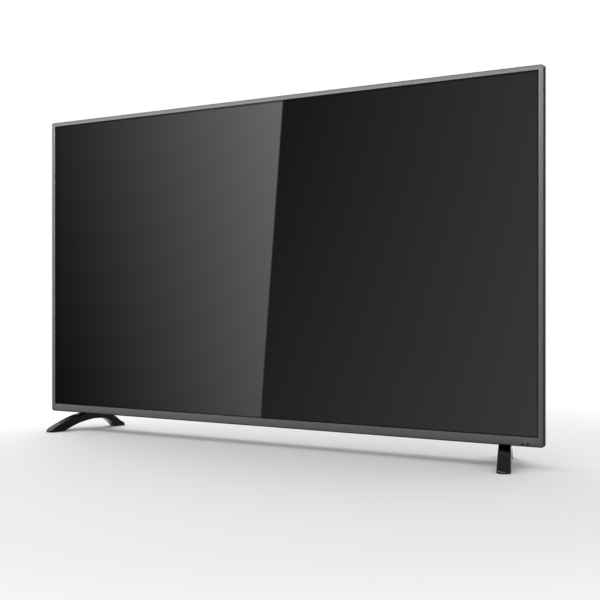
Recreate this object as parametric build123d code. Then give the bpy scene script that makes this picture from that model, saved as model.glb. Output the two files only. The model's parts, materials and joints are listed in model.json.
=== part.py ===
from build123d import *
from math import cos, radians
import os

# A flat television on two arched feet, in millimetres.
# X runs to the right seen from the front, Y runs back from the front, Z runs up from the floor.
# The origin is on the floor, midway between the tips of the feet.

# Picture, borders and case
picture_width = 1209.6
picture_height = 680.4
border_side = 3.0
border_top = 3.5
border_bottom = 3.0
bezel_side = 10.5
bezel_top = 9.5
bezel_bottom = 17.5
floor_gap = 42.5
edge_depth = 13.0
total_depth = 75.0
case_corner_radius = 5.5

# Clearances that many pieces share
overrun = 5.0
seat_gap = 0.3
running_gap = 0.05

# Feet
foot_width = 27.0
foot_front_reach = 72.0
foot_rear_reach = 136.0
foot_side_inset = 57.4
foot_splay_angle = 17.0
foot_draft_angle = 2.0
foot_tip_height = 4.0
foot_edge_radius = 3.2
foot_crown_share = 0.5
pad_thickness = 0.6
pad_margin = 3.5
foot_key_length = 12.0
foot_key_width = 6.0
foot_key_height = 2.2
foot_crest_front_share = 0.50
foot_crest_rear_share = 0.735
foot_crest_middle_share = 0.59
foot_heel_front_share = 0.136
foot_heel_rear_share = 0.90
foot_front_top_shares = [(0.1255, 0.515), (0.226, 0.695), (0.3275, 0.842), (0.43, 0.932)]
foot_rear_top_shares = [(0.872, 0.70), (0.926, 0.537), (0.98, 0.334)]
foot_nose_slope_share = 0.48
foot_heel_slope_share = -0.8
foot_arch_shares = [(0.245, 0.235), (0.3465, 0.395), (0.449, 0.50), (0.554, 0.572), (0.659, 0.574),
                    (0.76, 0.50), (0.812, 0.365), (0.855, 0.21)]
foot_screw_spacing = 25.0
foot_screw_radius = 2.0
foot_screw_head_radius = 3.8
foot_screw_head_height = 2.5
foot_screw_engagement = 8.0
foot_screw_wall = 8.0

# Front bezel
bezel_thickness = 2.0
bezel_edge_radius = 1.3
bezel_lip_chamfer = 0.7
bezel_tab_length = 14.0
bezel_tab_thickness = 1.2
bezel_tab_depth = 6.0
bezel_top_tab_count = 9
bezel_side_tab_count = 5
bezel_notch_width = 58.0
bezel_notch_height = 1.1

# Side frame round the slim edge
side_wall = 1.6
flange_width = 12.0
flange_thickness = 1.4
flange_edge_radius = 0.8

# Display cell and its frame
polariser_thickness = 0.2
glass_thickness = 0.7
glass_lap = 3.0
polariser_lap = 1.5
source_margin = 6.0
rear_polariser_lap = 0.6
panel_wall_inset = 4.8
panel_wall = 1.2
ledge_thickness = 1.0
ledge_lap = 0.8

# Backlight
film_thickness = 0.3
guide_thickness = 3.0
reflector_thickness = 0.3
film_side_lap = 0.2
film_top_inset = 7.0
plate_offset = 2.0
plate_thickness = 0.8
rim_inset = 3.7
rib_width = 26.0
rib_end_margin = 88.3
rib_height_shares = [0.56, 0.70, 0.84]
spreader_leg_thickness = 1.5
spreader_height = 64.0
spreader_clearance = 16.0
bar_thickness = 1.0
bar_width = 3.1
bar_clearance = 2.0
led_length = 7.0
led_width = 2.6
led_height = 1.6
led_count = 60
led_gap = 0.5

# Source boards and the films that reach them
film_count = 6
film_band_thickness = 0.2
film_band_width = 32.0
film_bend_radius = 0.5
film_bond_height = 4.5
source_board_start = 20.0
source_board_bracket_gap = 30.0
source_board_height = 28.0
source_board_bottom = 14.0
thin_board = 1.2

# Rear cover
cover_side_margin = 28.3
cover_height = 345.0
cover_side_slope = 22.0
cover_top_slope = 27.0
cover_wall = 2.5
cover_edge_radius = 5.0
vent_width = 3.0
vent_height = 15.0
vent_pitch = 9.0
vent_count = 17
vent_group_offset = 330.0
grille_slot_width = 3.0
grille_slot_length = 34.0
grille_pitch = 9.0
grille_count = 15

# Cover screws and the wells that they sit in
well_radius = 7.0
well_bore_radius = 4.5
well_floor_depth = 17.0
well_floor_thickness = 2.5
cover_screw_radius = 1.5
cover_screw_head_radius = 3.4
cover_screw_head_height = 2.2
cover_screw_tip_depth = 9.6
cover_screw_hole_gap = 0.1
top_screw_drop = 22.0
top_screw_inset = 90.0
inner_screw_offset = 150.0
side_screw_inset = 21.0
side_screw_height = 180.0
low_screw_height = 30.0
middle_screw_height = 76.0

# Wall mount
wall_mount_width = 400.0
wall_mount_height = 200.0
wall_mount_bottom = 100.0
wall_mount_post_radius = 7.0
wall_mount_thread_radius = 3.0
wall_mount_thread_length = 30.0

# Circuit boards and what holds them
board_thickness = 1.6
board_depth = 17.0
post_radius = 3.0
post_neck_radius = 1.4
post_head_radius = 2.6
post_head_height = 1.5
post_inset = 6.0
main_board_mount_gap = 25.0
main_board_width = 195.0
main_board_bottom = 133.0
main_board_top = 300.0
power_board_mount_gap = 25.0
power_board_width = 200.0
power_board_bottom = 112.0
power_board_top = 290.0
timing_board_half_width = 75.0
timing_board_bottom = 110.0
timing_board_height = 60.0
timing_chip_size = 18.0
timing_chip_height = 2.0

# Terminal recess for the plugs, and the recess of the power inlet
recess_step_width = 38.0
recess_bottom = 55.0
recess_top = 300.0
recess_board_gap = 5.0
recess_step_height = 128.0
recess_floor_depth = 15.0
inlet_recess_width = 60.0
inlet_recess_inset = 5.0
inlet_recess_top = 108.0
socket_opening_gap = 0.4

# Parts on the main board
chip_size = 27.0
chip_height = 2.0
sink_size = 52.0
sink_base = 2.5
sink_height = 15.0
sink_fin_thickness = 1.4
sink_fin_count = 9
chip_offset = 75.0
chip_height_place = 232.0
tuner_width = 30.0
tuner_height = 42.0
tuner_depth = 13.0
tuner_wall = 0.8
aerial_offset = 120.0
aerial_radius = 4.75
aerial_contact_radius = 0.8
aerial_reach = 10.0
aerial_nut_radius = 6.5
aerial_nut_thickness = 2.0
aerial_core_radius = 3.6
aerial_core_length = 8.0
aerial_shoulder_radius = 5.0

# Sockets: outer size, mouth and depth of each kind
hdmi_size = (15.0, 6.2, 13.0)
hdmi_mouth = (14.0, 4.9, 11.0)
hdmi_tongue = (11.0, 1.2, 10.0)
hdmi_down_offset = 60.0
hdmi_side_heights = [152.0, 178.0]
usb_size = (14.5, 7.2, 17.0)
usb_mouth = (12.5, 5.6, 15.0)
usb_tongue = (11.0, 1.9, 13.0)
usb_side_heights = [208.0, 234.0]
network_size = (16.0, 13.4, 21.0)
network_mouth = (12.0, 8.4, 17.0)
network_latch = (6.4, 2.6)
network_offset = 25.0
jack_size = (12.0, 11.0, 15.0)
jack_radius = 1.8
jack_depth = 13.0
jack_side_height = 262.0
optical_size = (11.0, 11.0, 14.0)
optical_mouth = (9.0, 9.0, 11.5)
optical_offset = 90.0
shutter_size = (8.4, 8.2, 0.9)
shutter_pin_radius = 0.45
shutter_pin_length = 0.7
shutter_set_back = 0.6

# Parts on the power board
inlet_size = (25.0, 15.0, 22.0)
inlet_mouth = (18.0, 9.2)
inlet_depth = 17.0
inlet_pin_radius = 1.2
inlet_pin_length = 14.0
inlet_pin_spacing = 9.6
transformer_size = (42.0, 36.0, 24.0)
transformer_core = 14.0
transformer_step = 4.0
transformer_places = [(30.0, 160.0), (120.0, 238.0)]
capacitor_radius = 9.0
capacitor_height = 30.0
capacitor_places = [(75.0, 262.0), (75.0, 236.0), (75.0, 210.0), (175.0, 180.0)]
power_sink_length = 60.0
power_sink_height = 24.0
power_sink_thickness = 2.5
power_sink_fin = 9.0
power_sink_places = [(120.0, 160.0), (30.0, 238.0)]

# Loudspeakers, one behind each end of the lower edge
speaker_bracket_gap = 40.0
speaker_length = 180.0
speaker_bottom = 4.8
speaker_height = 41.0
speaker_front_depth = 16.0
speaker_cover_gap = 15.0
speaker_wall = 2.0
driver_length = 96.0
driver_side_gap = 1.0
driver_rim_width = 4.0
driver_flange = 2.0
driver_throat_length = 84.0
driver_wall = 1.2
basket_height = 15.0
magnet_length = 34.0
magnet_neck_margin = 4.0
magnet_height = 10.0
surround_thickness = 0.6
cone_length = 72.0
surround_width = 6.0
cone_height = 8.0
cone_thickness = 0.8
cone_neck_length = 21.0
cone_neck_step = 1.0
coil_neck_gap = 1.0
coil_wall = 0.5
coil_height = 9.0
cone_set_up = 1.8

# Infrared window and status light in the lower bezel
sensor_height = 4.5
window_inset = 40.3
window_size = 5.0
light_inset = 30.3
light_length = 7.0
light_height = 4.5
lens_recess = 0.1
lens_gap = 0.1
lens_depth = 2.6
sensor_board_half_length = 18.0
sensor_board_depth = 6.8
sensor_board_thickness = 1.0
sensor_notch_height = 6.15
receiver_size = (9.0, 4.0, 2.9)
indicator_size = (3.0, 3.0, 2.2)

# Wireless board
wireless_x = 110.0
wireless_height = 235.0
wireless_size = (46.0, 24.0)
wireless_shield = (18.0, 16.0, 2.0)

# Five-way key under the rear cover
key_depth = 40.0
key_pivot_height = 10.0
key_housing_size = 36.0
key_cavity_size = 30.0
key_housing_top = 18.0
key_ring_size = 26.0
key_ring_opening = 19.0
key_ring_height = 4.0
key_pin_radius = 1.0
key_pin_reach = 2.5
key_stem_size = 14.0
key_stem_height = 6.0
key_shaft_radius = 3.0
key_shaft_top = 15.6
key_knob_radius = 9.0
key_knob_drop = 3.5
key_knob_top = 2.0
key_knob_edge_radius = 1.5
key_head_radius = 4.2
key_hole_radius = 11.0
key_dome_radius = 3.0
key_dome_height = 1.0

# Foot brackets inside the cover
bracket_half_width = 20.0
bracket_cover_gap = 5.0
bracket_thickness = 3.0
bracket_height = 48.0

# Flat ribbon cables and round leads
ribbon_thickness = 0.3
ribbon_width = 18.0
ribbon_rise = 2.6
ribbon_bend_radius = 1.5
ribbon_landing = 8.0
ribbon_height_place = 152.0
source_ribbon_offset = 45.0
source_ribbon_width = 24.0
lead_radius = 1.5
lead_bend_radius = 10.0
lead_column_gap = 12.0
lead_pitch = 4.5
lead_end_length = 36.0
lead_sag = 14.0
lead_sag_run = 110.0
lead_heights = (200.0, 186.0, 174.0)
lead_plug_size = (10.0, 6.0, 10.0)
lead_plug_wall = 1.0

# Sizes worked out from the ones above
opening_width = picture_width + 2 * border_side
opening_height = picture_height + border_top + border_bottom
case_width = opening_width + 2 * bezel_side
case_height = opening_height + bezel_top + bezel_bottom
case_middle_z = floor_gap + case_height / 2
case_top_z = floor_gap + case_height
opening_bottom_z = floor_gap + bezel_bottom
opening_top_z = opening_bottom_z + opening_height
front_y = (foot_front_reach - foot_rear_reach) / 2
rib_length = case_width - 2 * rib_end_margin
cover_half_width = case_width / 2 - cover_side_margin
foot_nose_offset = case_width / 2 - foot_side_inset
window_x = case_width / 2 - window_inset
light_x = case_width / 2 - light_inset
bracket_rear_depth = total_depth - bracket_cover_gap
speaker_rear_depth = total_depth - speaker_cover_gap
driver_width = speaker_rear_depth - speaker_front_depth - 2 * driver_side_gap
driver_throat_width = driver_width - 2 * driver_rim_width
cone_width = driver_throat_width - 2 * surround_width
cone_neck_width = cone_width - 2 * cone_neck_step
coil_radius = cone_neck_width / 2 - coil_neck_gap
magnet_width = cone_neck_width + 2 * magnet_neck_margin
main_board_left = wall_mount_width / 2 + main_board_mount_gap
main_board_right = main_board_left + main_board_width
lead_column_x = main_board_left - lead_column_gap
recess_left = main_board_left
recess_step_x = main_board_right + recess_board_gap
recess_right = recess_step_x + recess_step_width
chip_x = main_board_left + chip_offset
aerial_x = main_board_left + aerial_offset
hdmi_down_x = main_board_left + hdmi_down_offset
network_x = main_board_left + network_offset
optical_x = main_board_left + optical_offset
power_board_inner = wall_mount_width / 2 + power_board_mount_gap
power_board_outer = power_board_inner + power_board_width
inlet_recess_outer = power_board_outer - inlet_recess_inset
inlet_recess_inner = inlet_recess_outer - inlet_recess_width
cell_front = bezel_thickness
filter_front = cell_front + polariser_thickness
array_front = filter_front + glass_thickness
array_rear = array_front + glass_thickness
film_front = array_rear + ledge_thickness
guide_front = film_front + 2 * film_thickness
reflector_front = guide_front + guide_thickness
reflector_rear = reflector_front + reflector_thickness
plate_front = reflector_rear + plate_offset
plate_rear = plate_front + plate_thickness
cover_front = plate_rear + seat_gap
panel_wall_rear = plate_front - seat_gap
leg_bottom = panel_wall_inset + panel_wall + seat_gap
leg_top = leg_bottom + spreader_leg_thickness
led_bottom = leg_top + bar_thickness
guide_bottom = led_bottom + led_height + led_gap
board_rear = board_depth + board_thickness


def depth(distance):
    """Y of the plane that far behind the front face."""
    return front_y + distance


def height(distance):
    """Z of the plane that far above the lower edge of the case."""
    return floor_gap + distance


def block(x_limits, y_limits, z_limits):
    """Box between a low and a high limit on each axis."""
    limits = (x_limits, y_limits, z_limits)
    sizes = [max(pair) - min(pair) for pair in limits]
    middles = [(pair[0] + pair[1]) / 2 for pair in limits]
    return Pos(*middles) * Box(*sizes)


def panel(x_limits, z_limits):
    """Rectangle drawn in X and Z between a low and a high limit on each axis."""
    middles = [(pair[0] + pair[1]) / 2 for pair in (x_limits, z_limits)]
    return Pos(*middles) * Rectangle(x_limits[1] - x_limits[0], z_limits[1] - z_limits[0])


def upright(outline, y_limits):
    """Solid of an outline drawn in X and Z, from one Y to another."""
    front = Plane((0, y_limits[0], 0), x_dir=(1, 0, 0), z_dir=(0, -1, 0))
    return extrude(front * outline, amount=y_limits[1] - y_limits[0], dir=(0, 1, 0))


def level(outline, z_limits):
    """Solid of an outline drawn in X and Y, from one Z to another."""
    return extrude(Plane.XY.offset(z_limits[0]) * outline, amount=z_limits[1] - z_limits[0])


def rod(radius, start, end):
    """Round bar between two points."""
    axis = Vector(*end) - Vector(*start)
    return extrude(Plane(start, z_dir=axis) * Circle(radius), amount=axis.length)


def both_sides(shape):
    """The shape and its mirror image across the middle of the television."""
    return [shape, mirror(shape, about=Plane.YZ)]


def inset_outline(inset, radius=0):
    """Case outline drawn in by the same amount all round."""
    width = case_width - 2 * inset
    tall = case_height - 2 * inset
    if radius > 0:
        return Pos(0, case_middle_z) * RectangleRounded(width, tall, radius)
    return Pos(0, case_middle_z) * Rectangle(width, tall)


def spread(count, length):
    """Middles of equal shares of a length, measured from its own middle."""
    return [length * ((index + 0.5) / count - 0.5) for index in range(count)]


# Front bezel

def lens_outline(x, length, tall, gap=0):
    """Rounded outline of a small window in the lower bezel."""
    return Pos(x, height(sensor_height)) * SlotOverall(length + gap, tall + gap)


def window_outline(gap=0):
    """Round outline of the infrared window."""
    return Pos(window_x, height(sensor_height)) * Circle(window_size / 2 + gap)


def make_front_bezel():
    """Thin grey frame round the picture, with snap tabs behind and its two small openings."""
    opening = panel((-opening_width / 2, opening_width / 2), (opening_bottom_z, opening_top_z))
    ring = inset_outline(0, case_corner_radius) - opening
    bezel = upright(ring, (depth(0), depth(bezel_thickness)))
    face = bezel.faces().sort_by(Axis.Y)[0]
    bezel = fillet(face.outer_wire().edges(), bezel_edge_radius)
    face = bezel.faces().sort_by(Axis.Y)[0]
    bezel = chamfer(face.inner_wires()[0].edges(), bezel_lip_chamfer)
    outside = side_wall + seat_gap
    tabs_y = (depth(bezel_thickness), depth(bezel_thickness + bezel_tab_depth))
    top_z = case_top_z - outside
    tabs = []
    for x in spread(bezel_top_tab_count, opening_width):
        tabs.append(block((x - bezel_tab_length / 2, x + bezel_tab_length / 2), tabs_y,
                          (top_z - bezel_tab_thickness, top_z)))
    tab_x = case_width / 2 - outside
    for place in spread(bezel_side_tab_count, opening_height):
        z = case_middle_z + place
        tab = block((tab_x - bezel_tab_thickness, tab_x), tabs_y,
                    (z - bezel_tab_length / 2, z + bezel_tab_length / 2))
        tabs += both_sides(tab)
    bezel += tabs
    cut_y = (depth(-overrun), depth(bezel_thickness + overrun))
    notch = panel((-bezel_notch_width / 2, bezel_notch_width / 2),
                  (height(-overrun), height(bezel_notch_height)))
    light = lens_outline(light_x, light_length, light_height, 2 * lens_gap)
    return bezel - [upright(cut, cut_y) for cut in (notch, window_outline(lens_gap), light)]


def make_infrared_window():
    """Dark round window that the remote control shines through."""
    return upright(window_outline(), (depth(lens_recess), depth(lens_depth)))


def make_status_light():
    """Small oval light pipe beside the infrared window."""
    outline = lens_outline(light_x, light_length, light_height)
    return upright(outline, (depth(lens_recess), depth(lens_depth)))


def sensor_limits():
    """X limits of the little board behind the two windows."""
    middle = (window_x + light_x) / 2
    return middle - sensor_board_half_length, middle + sensor_board_half_length


def make_infrared_board():
    """Small board lying inside the lower edge, with the receiver and the indicator on it."""
    low = side_wall + seat_gap
    top = low + sensor_board_thickness
    front = lens_depth + seat_gap
    board = block(sensor_limits(), (depth(front), depth(front + sensor_board_depth)),
                  (height(low), height(top)))
    for x, size in ((window_x, receiver_size), (light_x, indicator_size)):
        board += block((x - size[0] / 2, x + size[0] / 2), (depth(front), depth(front + size[1])),
                       (height(top), height(top + size[2])))
    return board


# Side frame, display cell and backlight

def sensor_notch():
    """Space that the little board takes out of the frames round it."""
    low, high = sensor_limits()
    return block((low - seat_gap, high + seat_gap), (depth(bezel_thickness), depth(cover_front)),
                 (height(side_wall), height(sensor_notch_height)))


def make_side_frame():
    """Black frame that closes the slim edge and laps over the back plate."""
    wall = inset_outline(0, case_corner_radius) - inset_outline(side_wall, case_corner_radius - side_wall)
    frame = upright(wall, (depth(bezel_thickness), depth(edge_depth)))
    flange = inset_outline(0, case_corner_radius) - inset_outline(flange_width)
    frame += upright(flange, (depth(edge_depth - flange_thickness), depth(edge_depth)))
    rear = frame.faces().sort_by(Axis.Y)[-1]
    frame = fillet(rear.outer_wire().edges(), flange_edge_radius)
    reach = cover_half_width + seat_gap
    return frame - block((-reach, reach), (depth(plate_rear), depth(edge_depth + overrun)),
                         (height(-overrun), height(flange_width + overrun)))


def cell_outline(lap, below=0):
    """Outline that laps behind the bezel opening, and reaches further down by the last value."""
    half = opening_width / 2 + lap
    return panel((-half, half), (opening_bottom_z - lap - below, opening_top_z + lap))


def picture_outline(lap):
    """Outline of the picture, drawn out by a lap."""
    low = opening_bottom_z + border_bottom
    half = picture_width / 2 + lap
    return panel((-half, half), (low - lap, low + picture_height + lap))


def make_cell():
    """The four layers of the display cell, by name."""
    rear_polariser_y = (depth(array_rear), depth(array_rear + polariser_thickness))
    return {
        "front_polariser": upright(cell_outline(polariser_lap), (depth(cell_front), depth(filter_front))),
        "colour_filter_glass": upright(cell_outline(glass_lap), (depth(filter_front), depth(array_front))),
        "array_glass": upright(cell_outline(glass_lap, source_margin),
                               (depth(array_front), depth(array_rear))),
        "rear_polariser": upright(picture_outline(rear_polariser_lap), rear_polariser_y),
    }


def make_panel_frame():
    """Middle frame: a wall round the backlight and a ledge that the glass rests on."""
    corner_radius = case_corner_radius - plate_thickness - seat_gap
    outer = inset_outline(panel_wall_inset, corner_radius)
    front = bezel_thickness + seat_gap
    wall = outer - inset_outline(panel_wall_inset + panel_wall, corner_radius - panel_wall)
    frame = upright(wall, (depth(front), depth(panel_wall_rear)))
    frame += upright(outer - picture_outline(ledge_lap), (depth(array_rear), depth(film_front)))
    half = opening_width / 2
    film_way = block((-half, half), (depth(front - overrun), depth(array_rear - seat_gap)),
                     (height(0), height(leg_bottom)))
    return frame - film_way - sensor_notch()


def sheet_outline():
    """Outline of the films and plates that lie behind the ledge."""
    half = opening_width / 2 + film_side_lap
    return panel((-half, half), (height(guide_bottom), case_top_z - film_top_inset))


def make_light_layers():
    """The layers that spread the light, front to rear, by name."""
    fronts = [film_front, film_front + film_thickness, guide_front, reflector_front, reflector_rear]
    names = ["prism_sheet", "diffuser_sheet", "light_guide_plate", "reflector_sheet"]
    return {name: upright(sheet_outline(), (depth(fronts[index]), depth(fronts[index + 1])))
            for index, name in enumerate(names)}


def rib_outlines(inset):
    """Outlines of the long pressed ribs of the back plate."""
    outline = SlotOverall(rib_length - 2 * inset, rib_width - 2 * inset)
    return [Pos(0, floor_gap + case_height * share) * outline for share in rib_height_shares]


def cover_screw_holes():
    """Clearance holes for the ends of the cover screws."""
    return [rod(cover_screw_radius + cover_screw_hole_gap, (x, depth(reflector_rear), z),
                (x, depth(plate_rear + overrun), z)) for x, z in cover_screw_places()]


def make_back_plate():
    """Pressed steel plate with a folded rim and long ribs that carry the reflector."""
    base = inset_outline(rim_inset, case_corner_radius)
    plate = upright(base, (depth(plate_front), depth(plate_rear)))
    rim = base - inset_outline(rim_inset + plate_thickness, case_corner_radius - plate_thickness)
    plate += upright(rim, (depth(film_front), depth(plate_front)))
    for outline in rib_outlines(0):
        plate += upright(outline, (depth(reflector_rear), depth(plate_front)))
    grooves = [upright(outline, (depth(reflector_rear + plate_thickness), depth(plate_rear + overrun)))
               for outline in rib_outlines(plate_thickness)]
    return plate - grooves - cover_screw_holes() - sensor_notch()


def make_heat_spreader():
    """Aluminium angle along the lower edge that cools the light bar."""
    half = case_width / 2 - spreader_clearance
    leg = block((-half, half), (depth(film_front + seat_gap), depth(panel_wall_rear)),
                (height(leg_bottom), height(leg_top)))
    wall = block((-half, half), (depth(reflector_rear), depth(panel_wall_rear)),
                 (height(leg_bottom), height(leg_bottom + spreader_height)))
    return leg + wall - cover_screw_holes()


def make_led_bar():
    """Narrow circuit strip that lies on the heat spreader."""
    half = case_width / 2 - spreader_clearance - bar_clearance
    middle = guide_front + guide_thickness / 2
    return block((-half, half), (depth(middle - bar_width / 2), depth(middle + bar_width / 2)),
                 (height(leg_top), height(led_bottom)))


def make_leds():
    """Row of light-emitting diodes that shine up into the light guide."""
    middle = guide_front + guide_thickness / 2
    y_limits = (depth(middle - led_width / 2), depth(middle + led_width / 2))
    z_limits = (height(led_bottom), height(led_bottom + led_height))
    return [block((x - led_length / 2, x + led_length / 2), y_limits, z_limits)
            for x in spread(led_count, picture_width)]


# Source boards and their films

def source_board_length():
    """Length of a source board, which ends short of the foot's bracket."""
    return bracket_limits()[0] - source_board_bracket_gap - source_board_start


def source_board_front():
    """How far the source boards lie behind the front face."""
    return cover_front + film_band_thickness


def make_source_boards():
    """Two long thin boards behind the lower edge of the back plate."""
    front = source_board_front()
    board = block((source_board_start, source_board_start + source_board_length()),
                  (depth(front), depth(front + thin_board)),
                  (height(source_board_bottom), height(source_board_bottom + source_board_height)))
    return both_sides(board)


def ribbon(plane, points, thickness, bend, width):
    """Flat cable: a bent strip drawn in a plane and as wide as the last value along its normal."""
    path = FilletPolyline(*points, radius=bend)
    return extrude(plane * trace(path, line_width=thickness), amount=width)


def make_source_films():
    """Thin films that fold from the glass, under the frame, up to the source boards."""
    half = film_band_thickness / 2
    front = depth(array_front) - half
    rear = depth(source_board_front()) - half
    under = height(rim_inset - seat_gap) + half - film_band_thickness
    bond_bottom = opening_bottom_z - glass_lap - source_margin
    points = [(front, bond_bottom + film_bond_height), (front, under), (rear, under),
              (rear, height(source_board_bottom + film_bond_height))]
    films = []
    for x in spread(film_count, source_board_length()):
        start = source_board_start + source_board_length() / 2 + x - film_band_width / 2
        films += both_sides(ribbon(Plane.YZ.offset(start), points, film_band_thickness,
                                   film_bend_radius, film_band_width))
    return films


# Rear cover

def cover_screw_places():
    """X and Z of every screw that holds the rear cover."""
    top = height(cover_height - top_screw_drop)
    side_x = cover_half_width - side_screw_inset
    right = [(cover_half_width - top_screw_inset, top), (inner_screw_offset, top),
             (side_x, height(side_screw_height)), (side_x, height(low_screw_height))]
    return right + [(-x, z) for x, z in right] + [(0, height(middle_screw_height))]


def cover_hull(inset, front_inset):
    """Tapered box: sloping sides and top, straight lower wall."""
    sections = []
    for slope_share, distance in ((0, cover_front - front_inset), (1, total_depth - inset)):
        half = cover_half_width - cover_side_slope * slope_share - inset
        top = height(cover_height - cover_top_slope * slope_share - inset)
        outline = panel((-half, half), (height(inset), top))
        plane = Plane((0, depth(distance), 0), x_dir=(1, 0, 0), z_dir=(0, -1, 0))
        sections.append((plane * outline).faces()[0])
    return loft(sections, ruled=True)


def recess_outline(wall):
    """Stepped outline of the recess for the plugs, drawn out by a wall."""
    left, right = recess_left - wall, recess_right + wall
    low, top = height(recess_bottom - wall), height(recess_top + wall)
    step_x, step_z = recess_step_x - wall, height(recess_step_height + wall)
    points = [(left, low), (right, low), (right, top), (step_x, top), (step_x, step_z), (left, step_z)]
    return make_face(Polyline(*points, close=True))


def inlet_recess_outline(wall):
    """Outline of the recess for the power plug, drawn out by a wall."""
    return panel((-inlet_recess_outer - wall, -inlet_recess_inner + wall),
                 (height(recess_bottom - wall), height(inlet_recess_top + wall)))


def socket_cuts():
    """Openings in the walls of both recesses, one for each socket."""
    gap = socket_opening_gap
    cuts = []
    for kind, x in down_sockets():
        cuts.append(place_down(Box(kind[0] + gap, kind[1] + gap, 2 * cover_wall + 2 * gap), x, kind[1]))
    for kind, z in side_sockets():
        cuts.append(place_side(Box(kind[0] + gap, kind[1] + gap, 2 * cover_wall + 2 * gap), z, kind[1]))
    inlet = Box(inlet_size[0] + gap, inlet_size[1] + gap, 2 * cover_wall + 2 * gap)
    cuts.append(place_inlet(inlet))
    cuts.append(rod(aerial_radius + gap, (aerial_x, aerial_y(), height(recess_step_height - overrun)),
                    (aerial_x, aerial_y(), height(main_board_bottom))))
    return cuts


def make_rear_cover():
    """Moulded rear shell with its recesses, screw wells, vents and loudspeaker grilles."""
    outer = cover_hull(0, 0)
    rear = outer.faces().sort_by(Axis.Y)[-1]
    outer = fillet(rear.edges(), cover_edge_radius)
    cover = outer - cover_hull(cover_wall, overrun)
    floor_y = depth(recess_floor_depth - cover_wall)
    far_y = depth(total_depth + overrun)
    for outline in (recess_outline, inlet_recess_outline):
        cover += upright(outline(cover_wall), (floor_y, depth(total_depth)))
    wells = [rod(well_radius, (x, depth(cover_front), z), (x, far_y, z)) for x, z in cover_screw_places()]
    cover += [well & outer for well in wells]
    cuts = [upright(outline(0), (depth(recess_floor_depth), far_y))
            for outline in (recess_outline, inlet_recess_outline)]
    for x, z in cover_screw_places():
        cuts.append(rod(well_bore_radius, (x, depth(well_floor_depth), z), (x, far_y, z)))
        cuts.append(rod(cover_screw_radius + cover_screw_hole_gap,
                        (x, depth(cover_front - overrun), z), (x, far_y, z)))
        under = depth(well_floor_depth - well_floor_thickness)
        cuts.append(rod(well_bore_radius, (x, depth(cover_front - overrun), z), (x, under, z)))
    for x, z in wall_mount_places():
        cuts.append(rod(wall_mount_post_radius + seat_gap, (x, depth(total_depth - 2 * overrun), z),
                        (x, far_y, z)))
    return cover - cuts - socket_cuts() - vent_cuts() - lower_cuts()


def vent_cuts():
    """Two groups of upright slots through the rear wall, under its upper edge."""
    top = height(cover_height - cover_top_slope - 2 * cover_edge_radius)
    cuts = []
    for place in spread(vent_count, vent_count * vent_pitch):
        x = vent_group_offset + place
        slot = Pos(x, top - vent_height / 2) * SlotOverall(vent_height, vent_width, 90)
        y_limits = (depth(total_depth - 2 * cover_wall), depth(total_depth + overrun))
        cuts += both_sides(upright(slot, y_limits))
    return cuts


def lower_cuts():
    """Grille slots, foot slots, screw holes and the key hole through the lower wall."""
    z_limits = (height(-overrun), height(cover_wall + seat_gap))
    middle_y = speaker_middle_y()
    cuts = []
    for place in spread(grille_count, grille_count * grille_pitch):
        slot = Pos(speaker_middle_x() + place, middle_y) * SlotOverall(grille_slot_length, grille_slot_width, 90)
        cuts += both_sides(level(slot, z_limits))
    key = foot_place() * Pos(foot_crest(), 0) * Rectangle(foot_key_length + 2 * seat_gap,
                                                         foot_key_width + 2 * seat_gap)
    cuts += both_sides(level(key, z_limits))
    for x, y in foot_screw_places():
        hole = rod(foot_screw_radius + seat_gap, (x, y, z_limits[0]), (x, y, z_limits[1]))
        cuts += both_sides(hole)
    cuts.append(level(Pos(0, depth(key_depth)) * Circle(key_hole_radius), z_limits))
    return cuts


def make_cover_screws():
    """Screws that hold the rear cover to the back plate."""
    screws = []
    for x, z in cover_screw_places():
        head_y = depth(well_floor_depth)
        screw = rod(cover_screw_radius, (x, depth(cover_screw_tip_depth), z), (x, head_y, z))
        screws.append(screw + rod(cover_screw_head_radius, (x, head_y, z),
                                  (x, head_y + cover_screw_head_height, z)))
    return screws


# Wall mount posts and foot brackets

def wall_mount_places():
    """X and Z of the four wall mount threads."""
    low = height(wall_mount_bottom)
    half = wall_mount_width / 2
    return [(x, z) for x in (-half, half) for z in (low, low + wall_mount_height)]


def make_wall_mount_posts():
    """Threaded posts from the back plate to the outside of the cover."""
    posts = []
    for x, z in wall_mount_places():
        post = rod(wall_mount_post_radius, (x, depth(plate_rear), z), (x, depth(total_depth), z))
        thread = rod(wall_mount_thread_radius, (x, depth(total_depth - wall_mount_thread_length), z),
                     (x, depth(total_depth + overrun), z))
        posts.append(post - thread)
    return posts


def bracket_limits():
    """X limits of the right foot's bracket, either side of its front screw."""
    front_screw_x = foot_screw_places()[0][0]
    return front_screw_x - bracket_half_width, front_screw_x + bracket_half_width


def make_foot_brackets():
    """Steel angles that carry the feet and stand against the back plate."""
    limits = bracket_limits()
    low = height(cover_wall)
    bracket = block(limits, (depth(plate_rear), depth(bracket_rear_depth)),
                    (low, low + bracket_thickness))
    bracket += block(limits, (depth(plate_rear), depth(plate_rear + bracket_thickness)),
                     (low, low + bracket_height))
    for place_x, place_y in foot_screw_places():
        bracket -= rod(foot_screw_radius + running_gap, (place_x, place_y, low - overrun),
                       (place_x, place_y, low + overrun))
    return both_sides(bracket)


# Feet

def foot_run():
    """Distance between the middles of the foot's two round ends."""
    return (foot_front_reach + foot_rear_reach - foot_width) / cos(radians(foot_splay_angle))


def foot_place():
    """Frame of the right foot: its first axis runs along the foot from the nose."""
    nose_y = depth(foot_width / 2 - foot_front_reach)
    return Pos(foot_nose_offset, nose_y) * Rot(0, 0, 90 + foot_splay_angle)


def foot_crest():
    """How far behind the nose the middle of the fastening lies."""
    return foot_run() * foot_crest_middle_share


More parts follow.
